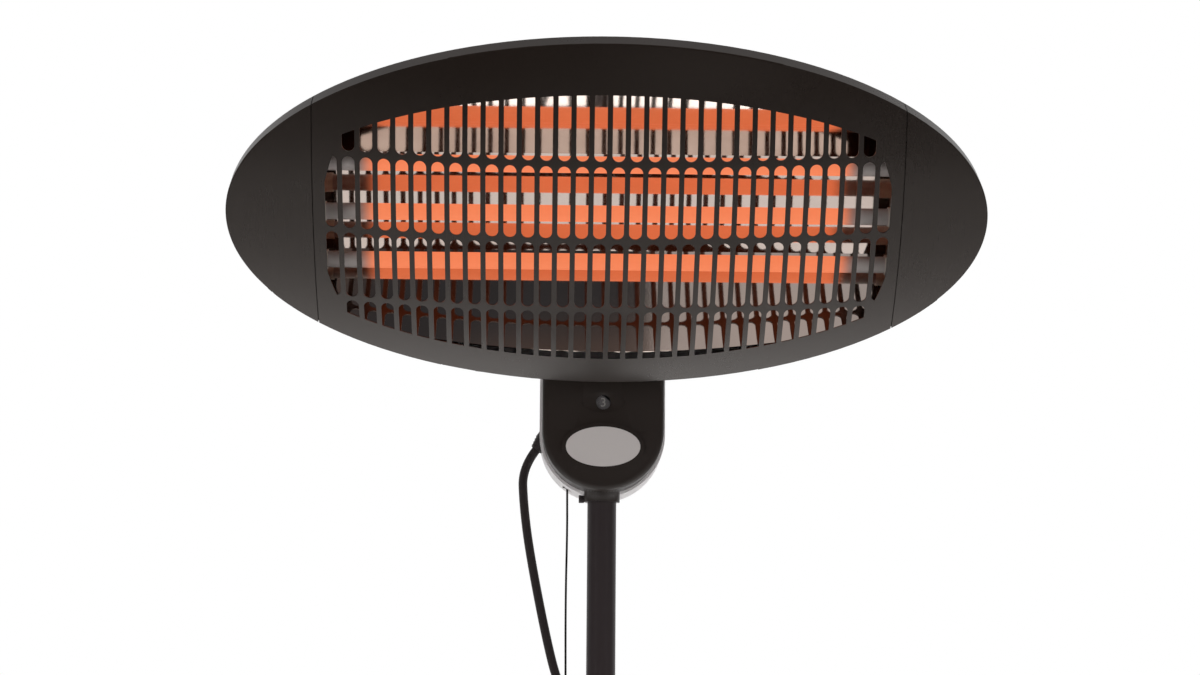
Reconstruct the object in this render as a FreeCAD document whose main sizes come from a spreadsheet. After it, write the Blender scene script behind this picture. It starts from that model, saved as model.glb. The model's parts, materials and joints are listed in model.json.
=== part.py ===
import FreeCAD, Part
import math
import os
import re
import Sketcher

# Free-standing quartz heater, millimetres.
# Origin on the floor under the pole, +Z up, the face looks along -Y and +X is on the viewer's right.

doc = FreeCAD.newDocument("quartz_heater")

# Sizes: name, value or formula of other sizes, and what it measures
SIZES = {
    # Face of the head
    "head_width": (500.0, "oval face, across"),
    "head_height": (240.0, "oval face, up"),
    "dome_rise": (32.0, "crown of the face in front of its rim"),
    "rim_depth": (15.0, "straight band round the face"),
    "panel_sheet": (1.0, "steel of the grille panel"),
    "cap_wall": (2.2, "moulded wall of the end caps"),
    "cap_reach": (58.5, "end cap, across"),
    "seam_offset": ("head_width / 2 - cap_reach", "seam between panel and cap, from the middle"),
    "seam_gap": (0.6, "open line at each seam"),
    "ledge_width": (5.5, "cap's ledge under the panel"),
    "ledge_gap": (0.15, "room between ledge and panel"),
    "slot_width": (8.2, "grille slot, across"),
    "slot_pitch": (11.56, "from slot to slot"),
    "slot_columns": ("floor((2 * seam_offset - 2 * ledge_width) / slot_pitch)", "slots in a row"),
    "row_pitch": (51.3, "from row to row"),
    "row_bar": (3.2, "bar left between two rows"),
    "field_side": (17.0, "oval that trims the slots, inside the face at each side"),
    "field_end": (26.5, "oval that trims the slots, inside the face above and below"),
    "field_width": ("head_width - 2 * field_side", "oval that trims the slots, across"),
    "field_height": ("head_height - 2 * field_end", "oval that trims the slots, up"),
    "corner_side": (4.5, "oval that trims the corners, inside the seams"),
    "corner_width": ("2 * (seam_offset - corner_side)", "oval that trims the corners, across"),
    "corner_end": (40.0, "oval that trims the corners, outside the face above and below"),
    "corner_height": ("head_height + 2 * corner_end", "oval that trims the corners, up"),
    "field_drop": (3.0, "slot field below the middle of the face"),
    # Rear casing
    "casing_depth": (45.0, "pan behind the band"),
    "back_side": (18.0, "taper of the pan at each side"),
    "back_end": (25.0, "taper of the pan above and below"),
    "casing_back_width": ("head_width - 2 * back_side", "flat back, across"),
    "casing_back_height": ("head_height - 2 * back_end", "flat back, up"),
    "casing_sheet": (1.0, "steel of the casing"),
    "lip_depth": (8.0, "lip that goes into the face"),
    "lip_web": (1.2, "web between wall and lip"),
    "lip_gap": (0.2, "room round the lip"),
    "vent_length": (34.0, "vent slot in the back, up"),
    "vent_width": (5.0, "vent slot in the back, across"),
    "vent_pitch": (13.0, "from vent to vent"),
    "vent_count": (11, "vents in the back"),
    "vent_edge": (43.0, "vents from the top of the flat back"),
    "vent_height": ("casing_back_height / 2 - vent_edge", "vents above the middle"),
    "boss_inset": (29.0, "screw boss of a cap, from the end of the face"),
    "cap_boss_across": ("head_width / 2 - boss_inset", "screw boss of a cap, from the middle"),
    "cap_boss_up": (18.0, "screw boss of a cap, up and down"),
    "boss_diameter": (9.0, "screw boss"),
    "screw_diameter": (4.0, "casing and bracket screws"),
    "screw_head": (7.6, "head of those screws"),
    "screw_head_depth": (2.4, "height of that head"),
    "screw_length": (20.0, "casing screw under its head"),
    "screw_gap": (0.05, "room round a screw"),
    # Reflector and tubes
    "reflector_depth": (27.0, "flat of the reflector behind the rim"),
    "reflector_flat": (69.6, "flat of the reflector, up"),
    "reflector_rise": (48.7, "how far the slopes come forward"),
    "reflector_spread": (74.0, "how far each slope spreads"),
    "reflector_lap": (1.5, "reflector beyond each seam"),
    "reflector_length": ("2 * (seam_offset + reflector_lap)", "reflector, across"),
    "reflector_sheet": (0.6, "polished sheet"),
    "reflector_room": (3.0, "reflector's edge behind the face"),
    "reflector_inset": (16.0, "reflector's edge inside the band"),
    "standoff_diameter": (8.0, "post between casing and reflector"),
    "standoff_side": (73.0, "post from the end of the reflector"),
    "standoff_edge": (17.0, "post from the edge of the reflector's flat"),
    "standoff_across": ("reflector_length / 2 - standoff_side", "post from the middle"),
    "standoff_up": ("reflector_flat / 2 - standoff_edge", "post up and down"),
    "tube_diameter": (11.0, "quartz tube"),
    "tube_wall": (1.0, "quartz tube's wall"),
    "tube_inset": (3.0, "quartz tube short of the reflector at each end"),
    "tube_length": ("reflector_length - 2 * tube_inset", "quartz tube"),
    "tube_room": (0.4, "outer tubes inside the reflector's flat, before the lift"),
    "tube_lift": (2.5, "middle tube above the middle of the face"),
    "tube_spacing": ("reflector_flat / 2 - tube_room", "from tube to tube"),
    "tube_setback": (1.9, "tubes behind the rim"),
    "element_diameter": (6.0, "glowing winding"),
    "cold_end": (33.0, "unlit end of a tube"),
    "element_length": ("tube_length - 2 * cold_end", "glowing winding"),
    "lead_diameter": (1.5, "end wire of a winding"),
    "lead_overhang": (4.0, "end wire beyond its ceramic"),
    "ceramic_diameter": (13.0, "ceramic end"),
    "ceramic_length": (20.0, "ceramic end"),
    "ceramic_seat": (6.0, "tube inside its ceramic end"),
    "seat_gap": (0.05, "room round a seated round piece"),
    "bracket_sheet": (1.0, "plate that holds the tubes"),
    "bracket_front": (5.4, "that plate in front of the rim"),
    "strip_sheet": (0.8, "terminal strip"),
    "strip_width": (6.0, "terminal strip"),
    # Tilt hinge
    "rest_tilt": (35.0, "face turned down from upright"),
    "hinge_height": (1680.0, "hinge above the floor, pole pushed down"),
    "hinge_back": (60.0, "hinge behind the rim"),
    "hinge_below": (8.0, "hinge below the lower edge of the face"),
    "hinge_drop": ("head_height / 2 + hinge_below", "hinge below the middle of the face"),
    "ear_sheet": (3.0, "steel of the tilt bracket"),
    "ear_round": (12.0, "round end of an ear"),
    "plate_width": (60.0, "plate of the tilt bracket, across"),
    "plate_height": (42.0, "plate of the tilt bracket, up"),
    "plate_edge": (3.0, "that plate inside the flat back"),
    "plate_bottom": ("casing_back_height / 2 - plate_edge", "bottom of that plate below the middle"),
    "plate_top": ("plate_bottom - plate_height", "top of that plate below the middle"),
    "barrel_diameter": (22.0, "hinge barrel"),
    "barrel_width": (28.0, "hinge barrel, across"),
    "hinge_gap": (0.2, "room beside the barrel"),
    "bolt_diameter": (8.0, "tilt bolt"),
    "bolt_gap": (0.05, "running room round a bolt"),
    "bolt_head": (14.0, "head of the tilt bolt"),
    "bolt_head_depth": (5.0, "height of that head"),
    "knob_gap": (0.3, "room behind a knob"),
    "knob_diameter": (23.0, "tilt knob, at its body"),
    "knob_depth": (14.0, "tilt knob"),
    "knob_lobe": (6.0, "lobe of a knob"),
    "knob_lobes": (6, "lobes on a knob"),
    # Neck box
    "neck_width": (83.8, "neck box, across"),
    "neck_top": (17.0, "top of the box below the hinge"),
    "neck_round": (56.6, "middle of the box's round end below the hinge"),
    "neck_front": (28.0, "front cover, deep"),
    "neck_rear": (50.0, "rear shell, deep"),
    "neck_wall": (2.0, "wall of the box"),
    "shell_step": (1.8, "rear shell outside the front cover"),
    "front_round": (4.0, "rounded edge of the front cover"),
    "rear_round": (10.0, "rounded edge of the rear shell"),
    "collar_diameter": (24.8, "collar under the box"),
    "collar_bottom": (104.0, "end of the collar below the hinge"),
    "collar_top": (93.0, "start of the collar below the hinge"),
    "collar_gap": (0.1, "room between collar and pole"),
    "socket_diameter": (30.0, "pole socket inside the box"),
    "socket_top": (57.0, "top of the socket below the hinge"),
    "socket_roof": (3.0, "closed end of the socket"),
    "post_width": (18.0, "post from socket to hinge, across"),
    "post_depth": (14.0, "post from socket to hinge, deep"),
    "post_gap": (0.3, "room round the post"),
    "cover_boss": (8.0, "screw boss inside the covers"),
    "cover_screw": (3.0, "cover screw"),
    "cover_screw_head": (6.0, "head of a cover screw"),
    "cover_screw_length": (60.0, "cover screw"),
    "cover_boss_high": (27.0, "upper bosses below the hinge"),
    "cover_boss_high_across": (31.0, "upper bosses from the middle"),
    "cover_boss_low": (68.0, "lower bosses below the hinge"),
    "cover_boss_low_across": (34.0, "lower bosses from the middle"),
    "plinth_width": (57.0, "raised oval on the cover, across"),
    "plinth_height": (33.0, "raised oval on the cover, up"),
    "plinth_rise": (1.2, "raised oval on the cover"),
    "label_width": (51.0, "oval plate, across"),
    "label_height": (27.4, "oval plate, up"),
    "label_sheet": (0.8, "oval plate"),
    "label_drop": (68.6, "oval plate below the hinge"),
    "window_diameter": (10.0, "indicator window"),
    "window_sheet": (1.6, "indicator window"),
    "window_drop": (37.8, "indicator window below the hinge"),
    "recess_width": (30.0, "oval recess round the window, across"),
    "recess_height": (14.0, "oval recess round the window, up"),
    "recess_depth": (0.6, "oval recess round the window"),
    # Switch and pull cord
    "disc_diameter": (44.0, "indicator disc"),
    "disc_sheet": (2.0, "indicator disc"),
    "disc_room": (1.2, "disc behind the cover's wall"),
    "disc_across": (13.0, "disc's shaft left of the middle"),
    "disc_drop": (50.8, "disc's shaft below the hinge"),
    "shaft_diameter": (5.0, "disc's shaft"),
    "shaft_seat": (10.0, "shaft inside the switch"),
    "switch_front": (24.0, "switch behind the pole's middle"),
    "switch_left": (28.0, "switch, left side from the middle"),
    "switch_right": (1.0, "switch, right side from the middle"),
    "switch_top": (42.0, "switch, top below the hinge"),
    "switch_bottom": (70.2, "switch, bottom below the hinge"),
    "cord_across": (24.0, "pull cord left of the middle"),
    "cord_back": (20.5, "pull cord behind the middle"),
    "cord_diameter": (1.5, "pull cord"),
    "cord_length": (495.0, "pull cord under its knot"),
    "knot_diameter": (4.4, "knot on the pull cord"),
    "knot_gap": (0.3, "knot above the lever"),
    "lever_across": (6.0, "lever's pin left of the middle"),
    "lever_drop": (66.0, "lever's pin below the hinge"),
    "lever_height": (3.2, "lever, up"),
    "lever_depth": (4.8, "lever, deep"),
    "lever_end": (29.3, "lever's end left of the middle"),
    "lever_tail": (2.6, "lever's other end left of the middle"),
    "lever_slot": (2.6, "slot for the cord, deep"),
    "lever_slot_out": (28.2, "slot's outer end left of the middle"),
    "lever_slot_in": (20.0, "slot's inner end left of the middle"),
    "pin_diameter": (2.2, "lever's pin"),
    "eyelet_diameter": (6.4, "cord eyelet"),
    "eyelet_bore": (2.6, "cord eyelet's hole"),
    "eyelet_top": (85.0, "top of the eyelet below the hinge"),
    "eyelet_bottom": (92.0, "bottom of the eyelet below the hinge"),
    "toggle_diameter": (15.0, "pull toggle"),
    "toggle_length": (34.0, "pull toggle"),
    "block_width": (23.0, "terminal block, across"),
    "block_depth": (16.0, "terminal block, deep"),
    "block_height": (20.2, "terminal block, up"),
    "block_left": (5.0, "terminal block, left side from the middle"),
    "block_top": (50.0, "terminal block, top below the hinge"),
    "tip_width": (22.0, "tip-over switch, across"),
    "tip_depth": (18.0, "tip-over switch, deep"),
    "tip_height": (18.0, "tip-over switch, up"),
    "tip_top": (27.0, "tip-over switch, top below the hinge"),
    # Pole
    "pole_diameter": (20.0, "upper pole"),
    "pole_wall": (1.2, "upper pole's wall"),
    "stem_diameter": (25.0, "lower and middle pole"),
    "stem_wall": (1.5, "lower and middle pole's wall"),
    "stem_split": (740.0, "joint of the two lower tubes above the floor"),
    "stem_top": (1390.0, "top of the middle pole above the floor"),
    "coupling_length": (80.0, "sleeve inside that joint"),
    "coupling_wall": (3.0, "sleeve inside that joint"),
    "pole_room": (20.0, "upper pole above that sleeve, pushed down"),
    "slide_gap": (0.05, "running room of the sliding pole"),
    "bush_length": (60.0, "bush in the top of the middle pole"),
    "guide_length": (30.0, "guide ring on the end of the upper pole"),
    "grub_diameter": (3.0, "collar screw"),
    "grub_head": (5.4, "head of the collar screw"),
    "grub_head_depth": (3.6, "height of that head"),
    "grub_drop": (101.6, "collar screw below the hinge"),
    "grub_back": (3.0, "collar screw behind the middle"),
    "clamp_diameter": (38.0, "height clamp"),
    "clamp_length": (38.0, "height clamp below the tube's end"),
    "clamp_lip": (4.0, "lip over the tube's end"),
    "clamp_gap": (0.4, "room between lip and pole"),
    "clamp_boss": (18.0, "boss for the clamp knob"),
    "clamp_boss_reach": (31.0, "end of that boss from the middle"),
    "stud_diameter": (8.0, "stud of the clamp knob"),
    "stud_gap": (0.4, "stud's tip from the pole"),
    "clamp_knob_diameter": (36.0, "clamp knob, at its body"),
    "clamp_knob_depth": (16.0, "clamp knob"),
    # Base
    "base_diameter": (440.0, "base"),
    "base_top": (30.0, "top of the base"),
    "base_fall": (20.0, "sloping border of the base"),
    "base_shoulder": ("base_diameter / 2 - base_fall", "radius where the top starts to fall"),
    "base_edge": (16.0, "top of the base's upright edge"),
    "base_wall": (2.0, "wall of the base cover"),
    "foot_height": (6.0, "rubber foot"),
    "foot_diameter": (24.0, "rubber foot"),
    "foot_inset": (30.0, "middle of a foot inside the edge"),
    "foot_circle": ("base_diameter - 2 * foot_inset", "circle of the feet"),
    "foot_count": (6, "feet"),
    "plate_sheet": (2.0, "plate under the base"),
    "plate_room": (1.0, "plate inside the cover"),
    "weight_room": (24.0, "cast weight inside the edge"),
    "weight_diameter": ("base_diameter - 2 * weight_room", "cast weight"),
    "flange_diameter": (92.0, "pole flange"),
    "flange_sheet": (7.0, "pole flange"),
    "flange_socket": (34.0, "socket of the flange"),
    "flange_height": (60.0, "socket of the flange, up"),
    "flange_floor": (6.0, "floor of that socket"),
    "flange_bolt": (6.0, "base bolt"),
    "flange_bolt_head": (10.0, "head of a base bolt"),
    "flange_bolt_head_depth": (4.0, "height of that head"),
    "flange_bolt_circle": (64.0, "circle of the base bolts"),
    "flange_bolt_grip": (5.0, "base bolt inside the flange"),
    "flange_bolts": (3, "base bolts"),
    # Mains lead
    "lead_cable": (6.3, "mains lead"),
    "boot_diameter": (12.0, "cable boot at the box"),
    "boot_tip": (8.2, "thin end of a cable boot"),
    "boot_straight": (15.0, "straight part of the boot at the box"),
    "boot_taper": (9.0, "tapered part of the boot at the box"),
    "inlet_diameter": (10.0, "cable boot at a pole"),
    "inlet_straight": (20.0, "straight part of the boot at the upper pole"),
    "outlet_straight": (10.0, "straight part of the boot at the lower pole"),
    "inlet_taper": (10.0, "tapered part of a boot at a pole"),
    "gland_inset": (10.3, "start of the boot at the box inside its left wall"),
    "gland_back": (15.0, "start of that boot behind the middle"),
    "gland_drop": (46.8, "start of that boot below the hinge"),
    "gland_run": (16.0, "lead leaving that boot straight"),
    "bow_across": (54.4, "widest bow of the lead left of the middle"),
    "bow_back": (14.5, "widest bow behind the middle"),
    "bow_drop": (104.0, "widest bow below the hinge"),
    "lean_across": (50.0, "lead leaning in, left of the middle"),
    "lean_back": (12.5, "lead leaning in, behind the middle"),
    "lean_drop": (137.0, "lead leaning in, below the hinge"),
    "near_across": (38.0, "lead near the pole, left of the middle"),
    "near_back": (9.0, "lead near the pole, behind the middle"),
    "near_drop": (196.0, "lead near the pole, below the hinge"),
    "inlet_across": (4.3, "start of the boot at the upper pole left of the middle"),
    "inlet_front": (1.2, "start of that boot in front of the middle"),
    "inlet_drop": (282.7, "start of that boot below the hinge"),
    "inlet_run": (28.0, "lead entering that boot straight"),
    "outlet_back": (7.0, "start of the boot at the lower pole behind the middle"),
    "outlet_height": (104.0, "start of that boot above the floor"),
    "outlet_run": (22.0, "lead leaving that boot straight"),
    "fall_across": (16.0, "falling lead left of the middle"),
    "fall_back": (60.0, "falling lead behind the middle"),
    "fall_height": (48.0, "falling lead above the floor"),
    "landing_across": (36.0, "lead reaching the base, left of the middle"),
    "approach_run": (26.0, "last bend before the coil"),
    "leave_run": (28.0, "first bend after the coil"),
    "plug_run": (52.0, "second bend after the coil"),
    "plug_lead": (24.0, "lead entering the plug straight"),
    "coil_turns": (3, "turns in each layer of the coil"),
    "coil_outer": (46.0, "outer turn of the coil, radius"),
    "coil_step": (7.0, "from turn to turn and layer to layer"),
    "coil_back": (128.0, "coil behind the pole"),
    "tie_sheet": (0.6, "cable tie"),
    "tie_width": (10.0, "cable tie"),
    "tie_room": (0.9, "room between tie and coil"),
    "plug_width": (50.0, "plug body, across"),
    "plug_length": (48.0, "plug body, from the lead's side"),
    "plug_boot": (20.0, "tapered boot of the plug"),
    "pin_width": (6.3, "flat pin, across"),
    "pin_sheet": (4.0, "flat pin"),
    "pin_length": (17.7, "flat pin"),
    "earth_width": (8.0, "earth pin, along"),
    "earth_length": (22.7, "earth pin"),
    "pin_spread": (22.0, "between the two flat pins"),
    "pin_rise": (22.2, "from flat pins to earth pin"),
}

sheet = doc.addObject("Spreadsheet::Sheet", "Sizes")
for row, (name, (value, note)) in enumerate(SIZES.items(), start=1):
    sheet.set(f"A{row}", note)
    sheet.set(f"B{row}", f"={value}")
    sheet.setAlias(f"B{row}", name)
doc.recompute()

# Worked-out sizes, written as formulas of the sheet
ACROSS_RADIUS = "((head_width / 2)^2 + dome_rise^2) / (2 * dome_rise)"
UP_RADIUS = "((head_height / 2)^2 + dome_rise^2) / (2 * dome_rise)"
CASING_BACK = "rim_depth + casing_depth"
CERAMIC_START = "tube_length / 2 - ceramic_seat"
CERAMIC_END = f"{CERAMIC_START} + ceramic_length"
EAR_INNER = "barrel_width / 2 + hinge_gap"
EAR_OUTER = f"{EAR_INNER} + ear_sheet"
UPPER_BOTTOM = "stem_split + coupling_length / 2 + pole_room"
POLE_TOP = "socket_top + socket_roof"
STEM_FLOOR = "base_top + flange_floor"
CLAMP_MIDDLE = "stem_top - clamp_length / 2"

# The three places that pieces are built in: floor, hinge, and middle of the tilted face
FRAMES = {
    "base": "placement(vector(0; 0; 0); rotation(vector(0; 0; 1); 0))",
    "neck": "placement(vector(0; 0; hinge_height); rotation(vector(0; 0; 1); 0))",
    "head": "placement(vector(0; -hinge_back * cos(rest_tilt) - hinge_drop * sin(rest_tilt); "
            "hinge_height - hinge_back * sin(rest_tilt) + hinge_drop * cos(rest_tilt)); "
            "rotation(vector(1; 0; 0); rest_tilt))",
}
TURNS = {
    "x": "rotation(vector(0; 1; 0); 90)",
    "y": "rotation(vector(1; 0; 0); -90)",
    "z": "rotation(vector(0; 0; 1); 0)",
}
ORIGIN = ("0", "0", "0")
local_places = {}
nodes = []


def formula(text):
    """Give a formula in which every size is looked up in the sheet."""
    return re.sub(r"[a-z]+(?:_[a-z]+)*", lambda word: cell(word.group(0)), text)


def cell(word):
    """Give the sheet's name of a size, or the word itself."""
    return "Sizes." + word if word in SIZES else word


def size(name):
    """Read one size from the sheet."""
    return float(sheet.get(name))


def bind(piece, prop, text):
    """Tie a property of a piece to a formula of the sheet."""
    piece.setExpression(prop, formula(text))


def place(piece, at=ORIGIN, along="z"):
    """Put a piece at a point of its frame, with its own Z turned along an axis."""
    local = f"placement(vector({at[0]}; {at[1]}; {at[2]}); {TURNS[along]})"
    local_places[piece.Name] = local
    bind(piece, "Placement", local)
    return piece


def finish(piece, label, frame):
    """Name a finished piece and carry it from its frame to the model."""
    piece.Label = label
    local = local_places.get(piece.Name)
    whole = FRAMES[frame] if local is None else f"{FRAMES[frame]} * {local}"
    bind(piece, "Placement", whole)
    nodes.append(piece)
    return piece


def cylinder(name, diameter, length, at=ORIGIN, along="z"):
    """Make a round bar that starts at a point and runs along an axis."""
    piece = doc.addObject("Part::Cylinder", name)
    bind(piece, "Radius", f"({diameter}) / 2")
    bind(piece, "Height", length)
    return place(piece, at, along)


def cone(name, start, end, length, at=ORIGIN, along="z"):
    """Make a tapered bar from one diameter to another."""
    piece = doc.addObject("Part::Cone", name)
    bind(piece, "Radius1", f"({start}) / 2")
    bind(piece, "Radius2", f"({end}) / 2")
    bind(piece, "Height", length)
    return place(piece, at, along)


def box(name, low, high):
    """Make a block between two corners."""
    piece = doc.addObject("Part::Box", name)
    for prop, start, end in zip(("Length", "Width", "Height"), low, high):
        bind(piece, prop, f"({end}) - ({start})")
    return place(piece, low)


def oval_edge(name, width, height, y):
    """Draw an upright oval that faces along Y."""
    edge = doc.addObject("Part::Ellipse", name)
    bind(edge, "MajorRadius", f"({width}) / 2")
    bind(edge, "MinorRadius", f"({height}) / 2")
    bind(edge, "Placement", f"placement(vector(0; {y}; 0); rotation(vector(1; 0; 0); 90))")
    return edge


def oval(name, width, height, start, end, drop="0"):
    """Make an upright oval slab between two depths."""
    edge = oval_edge(name + "_edge", width, height, "0")
    slab = doc.addObject("Part::Extrusion", name)
    slab.Base = edge
    slab.DirMode = "Custom"
    slab.Dir = FreeCAD.Vector(0, 1, 0)
    slab.Solid = True
    bind(slab, "LengthFwd", f"({end}) - ({start})")
    return place(slab, ("0", start, f"-({drop})"))


def fuse(name, pieces):
    """Join pieces into one."""
    joined = doc.addObject("Part::MultiFuse", name)
    joined.Shapes = pieces
    joined.Refine = True
    return joined


def cut(name, base, tools):
    """Take one or more pieces away from another."""
    result = doc.addObject("Part::Cut", name)
    result.Base = base
    result.Tool = tools[0] if len(tools) == 1 else fuse(name + "_tools", tools)
    return result


def common(name, base, tool):
    """Keep what two pieces share."""
    result = doc.addObject("Part::Common", name)
    result.Base = base
    result.Tool = tool
    return result


def group(name, pieces):
    """Hold separate solids in one node."""
    held = doc.addObject("Part::Compound", name)
    held.Links = pieces
    return held


def shaped(name, shape):
    """Hold a shape that is worked out from the sheet's values."""
    piece = doc.addObject("Part::Feature", name)
    piece.Shape = shape
    return piece


def outline(body, role, points):
    """Draw a closed outline of straight sides, each corner bound to the sheet."""
    sketch = body.newObject("Sketcher::SketchObject", body.Name + "_outline")
    support = [item for item in body.Origin.OriginFeatures if item.Role == role][0]
    sketch.AttachmentSupport = [(support, "")]
    sketch.MapMode = "FlatFace"
    count = len(points)
    rough = [FreeCAD.Vector(index, index * index, 0) for index in range(count)]
    for index in range(count):
        sketch.addGeometry(Part.LineSegment(rough[index], rough[(index + 1) % count]), False)
    for index in range(count):
        sketch.addConstraint(Sketcher.Constraint("Coincident", index, 2, (index + 1) % count, 1))
    for index, pair in enumerate(points):
        for kind, axis, text in (("DistanceX", -2, pair[0]), ("DistanceY", -1, pair[1])):
            if text == "0":
                sketch.addConstraint(Sketcher.Constraint("PointOnObject", index, 1, axis))
                continue
            number = sketch.addConstraint(Sketcher.Constraint(kind, -1, 1, index, 1, 1.0))
            bind(sketch, f"Constraints[{number}]", text)
    return sketch


def padded(name, role, points, length):
    """Pad an outline evenly to both sides of its plane."""
    body = doc.addObject("PartDesign::Body", name)
    pad = body.newObject("PartDesign::Pad", name + "_pad")
    pad.Profile = outline(body, role, points)
    pad.Midplane = True
    bind(pad, "Length", length)
    body.Tip = pad
    return body


def turned(name, points):
    """Turn an outline of radius and height pairs about Z."""
    body = doc.addObject("PartDesign::Body", name)
    sketch = outline(body, "XZ_Plane", points)
    turn = body.newObject("PartDesign::Revolution", name + "_turn")
    turn.Profile = sketch
    turn.ReferenceAxis = (sketch, ["V_Axis"])
    turn.Angle = 360
    body.Tip = turn
    return body


def tube(name, outer, inner, length, at=ORIGIN, along="z"):
    """Make a straight tube."""
    return cut(name, cylinder(name + "_outer", outer, length, at, along),
               [cylinder(name + "_bore", inner, length, at, along)])


def rounded(name, base, radius, y):
    """Round the edges of a piece that lie in an upright plane at a depth."""
    doc.recompute()
    piece = doc.addObject("Part::Fillet", name)
    piece.Base = base
    piece.Edges = [(number, radius, radius) for number, edge in enumerate(base.Shape.Edges, start=1)
                   if all(abs(vertex.Y - y) < 0.01 for vertex in edge.Vertexes)]
    return piece


def star_knob(name, diameter, depth, at):
    """Make the grip of a hand knob along X: a round body with lobes."""
    lobes = [cylinder(name + "_body", diameter, depth, at, "x")]
    for index in range(int(size("knob_lobes"))):
        turn = f"{index} * 360 / knob_lobes"
        reach = f"({diameter}) / 2"
        spot = (at[0], f"({at[1]}) + {reach} * cos({turn})", f"({at[2]}) + {reach} * sin({turn})")
        lobes.append(cylinder(f"{name}_lobe_{index}", "knob_lobe", depth, spot, "x"))
    return fuse(name, lobes)


# Face of the head: grille panel and two end caps

def dome(name, inset):
    """Make the crowned body whose front is the face, moved inwards."""
    ring = doc.addObject("Part::Torus", name)
    bind(ring, "Radius1", f"{ACROSS_RADIUS} - {UP_RADIUS}")
    bind(ring, "Radius2", f"{UP_RADIUS} - ({inset})")
    return place(ring, ("0", f"{ACROSS_RADIUS} - dome_rise", "0"))


def face_blank(name, inset, back):
    """Make the solid oval head with its crowned front, moved inwards."""
    slab = oval(name + "_slab", f"head_width - 2 * ({inset})", f"head_height - 2 * ({inset})",
                "-dome_rise - rim_depth", back)
    return common(name, slab, dome(name + "_dome", inset))


def face_skin(name, outside, inside):
    """Make the open-backed skin between two insets of the face."""
    return cut(name, face_blank(name + "_out", outside, "rim_depth"),
               [face_blank(name + "_in", inside, "2 * rim_depth")])


def slot_shape(across, low, high, round_low, round_high):
    """Make one upright slot prism, with the ends that aren't trimmed rounded."""
    half = size("slot_width") / 2
    front = -size("dome_rise") - size("rim_depth")
    bottom = low + half if round_low else low
    top = high - half if round_high else high
    corner = [FreeCAD.Vector(across + side * half, front, level)
              for side, level in ((-1, bottom), (-1, top), (1, top), (1, bottom))]
    over = FreeCAD.Vector(across, front, high)
    under = FreeCAD.Vector(across, front, low)
    top_edge = (Part.Arc(corner[1], over, corner[2]) if round_high
                else Part.LineSegment(corner[1], corner[2]))
    low_edge = (Part.Arc(corner[3], under, corner[0]) if round_low
                else Part.LineSegment(corner[3], corner[0]))
    sides = [Part.LineSegment(corner[0], corner[1]), top_edge, Part.LineSegment(corner[2], corner[3]),
             low_edge]
    wire = Part.Wire([side.toShape() for side in sides])
    depth = size("dome_rise") + size("rim_depth")
    return Part.Face(wire).extrude(FreeCAD.Vector(0, depth, 0))


def slot_field():
    """Make every slot of the grille before the oval trims it."""
    columns = int(size("slot_columns"))
    pitch = size("row_pitch")
    bar = size("row_bar") / 2
    middle = -size("field_drop")
    reach = size("field_height")
    slots = []
    for column in range(columns):
        across = (column - (columns - 1) / 2) * size("slot_pitch")
        slots.append(slot_shape(across, middle + bar, middle + pitch - bar, True, True))
        slots.append(slot_shape(across, middle - pitch + bar, middle - bar, True, True))
        if 0 < column < columns - 1:
            slots.append(slot_shape(across, middle + pitch + bar, middle + reach, True, False))
            slots.append(slot_shape(across, middle - reach, middle - pitch - bar, False, True))
    return shaped("slot_field", Part.makeCompound(slots))


def make_face():
    """Make the grille panel and the end caps."""
    edge = "seam_offset - seam_gap / 2"
    panel_zone = box("panel_zone", (f"-({edge})", "-head_width", "-head_height"),
                     (edge, "head_width", "head_height"))
    panel_blank = common("panel_blank", face_skin("panel_skin", "0", "panel_sheet"), panel_zone)
    field = slot_field()
    for trim in ("field", "corner"):
        trim_oval = oval(trim + "_oval", trim + "_width", trim + "_height",
                         "-2 * dome_rise", "2 * rim_depth", "field_drop")
        field = common(trim + "_trimmed_slots", field, trim_oval)
    finish(cut("grille_cut", panel_blank, [field]), "grille_panel", "head")

    wall = face_skin("cap_skin", "0", "cap_wall")
    ledge = face_skin("ledge_skin", "panel_sheet + ledge_gap", "cap_wall")
    for side, sign in (("left", "-1"), ("right", "1")):
        zone = box(side + "_cap_zone", *span(sign, "seam_offset + seam_gap / 2", "head_width"))
        ledge_zone = box(side + "_ledge_zone",
                         *span(sign, "seam_offset - ledge_width", "seam_offset + cap_wall"))
        bosses = [cylinder(f"{side}_boss_{up}", "boss_diameter",
                           f"{CASING_BACK} - casing_sheet + dome_rise",
                           (f"{sign} * cap_boss_across", "-dome_rise", f"{up} * cap_boss_up"), "y")
                  for up in (1, -1)]
        posts = common(side + "_bosses", fuse(side + "_boss_pair", bosses),
                       dome(side + "_boss_front", "panel_sheet"))
        solid = fuse(side + "_cap_solid", [common(side + "_cap_wall", wall, zone),
                                           common(side + "_cap_ledge", ledge, ledge_zone), posts])
        holes = [cylinder(f"{side}_hole_{up}", "screw_diameter + 2 * screw_gap", "screw_length",
                          (f"{sign} * cap_boss_across", f"{CASING_BACK} - screw_length",
                           f"{up} * cap_boss_up"), "y")
                 for up in (1, -1)]
        finish(cut(side + "_cap_cut", solid, holes), side + "_end_cap", "head")


def span(sign, near, far):
    """Give the corners of a tall block on one side of the middle."""
    low, high = (near, far) if sign == "1" else (f"-({far})", f"-({near})")
    return (low, "-head_width", "-head_height"), (high, "head_width", "head_height")


# Rear casing and its screws

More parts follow.
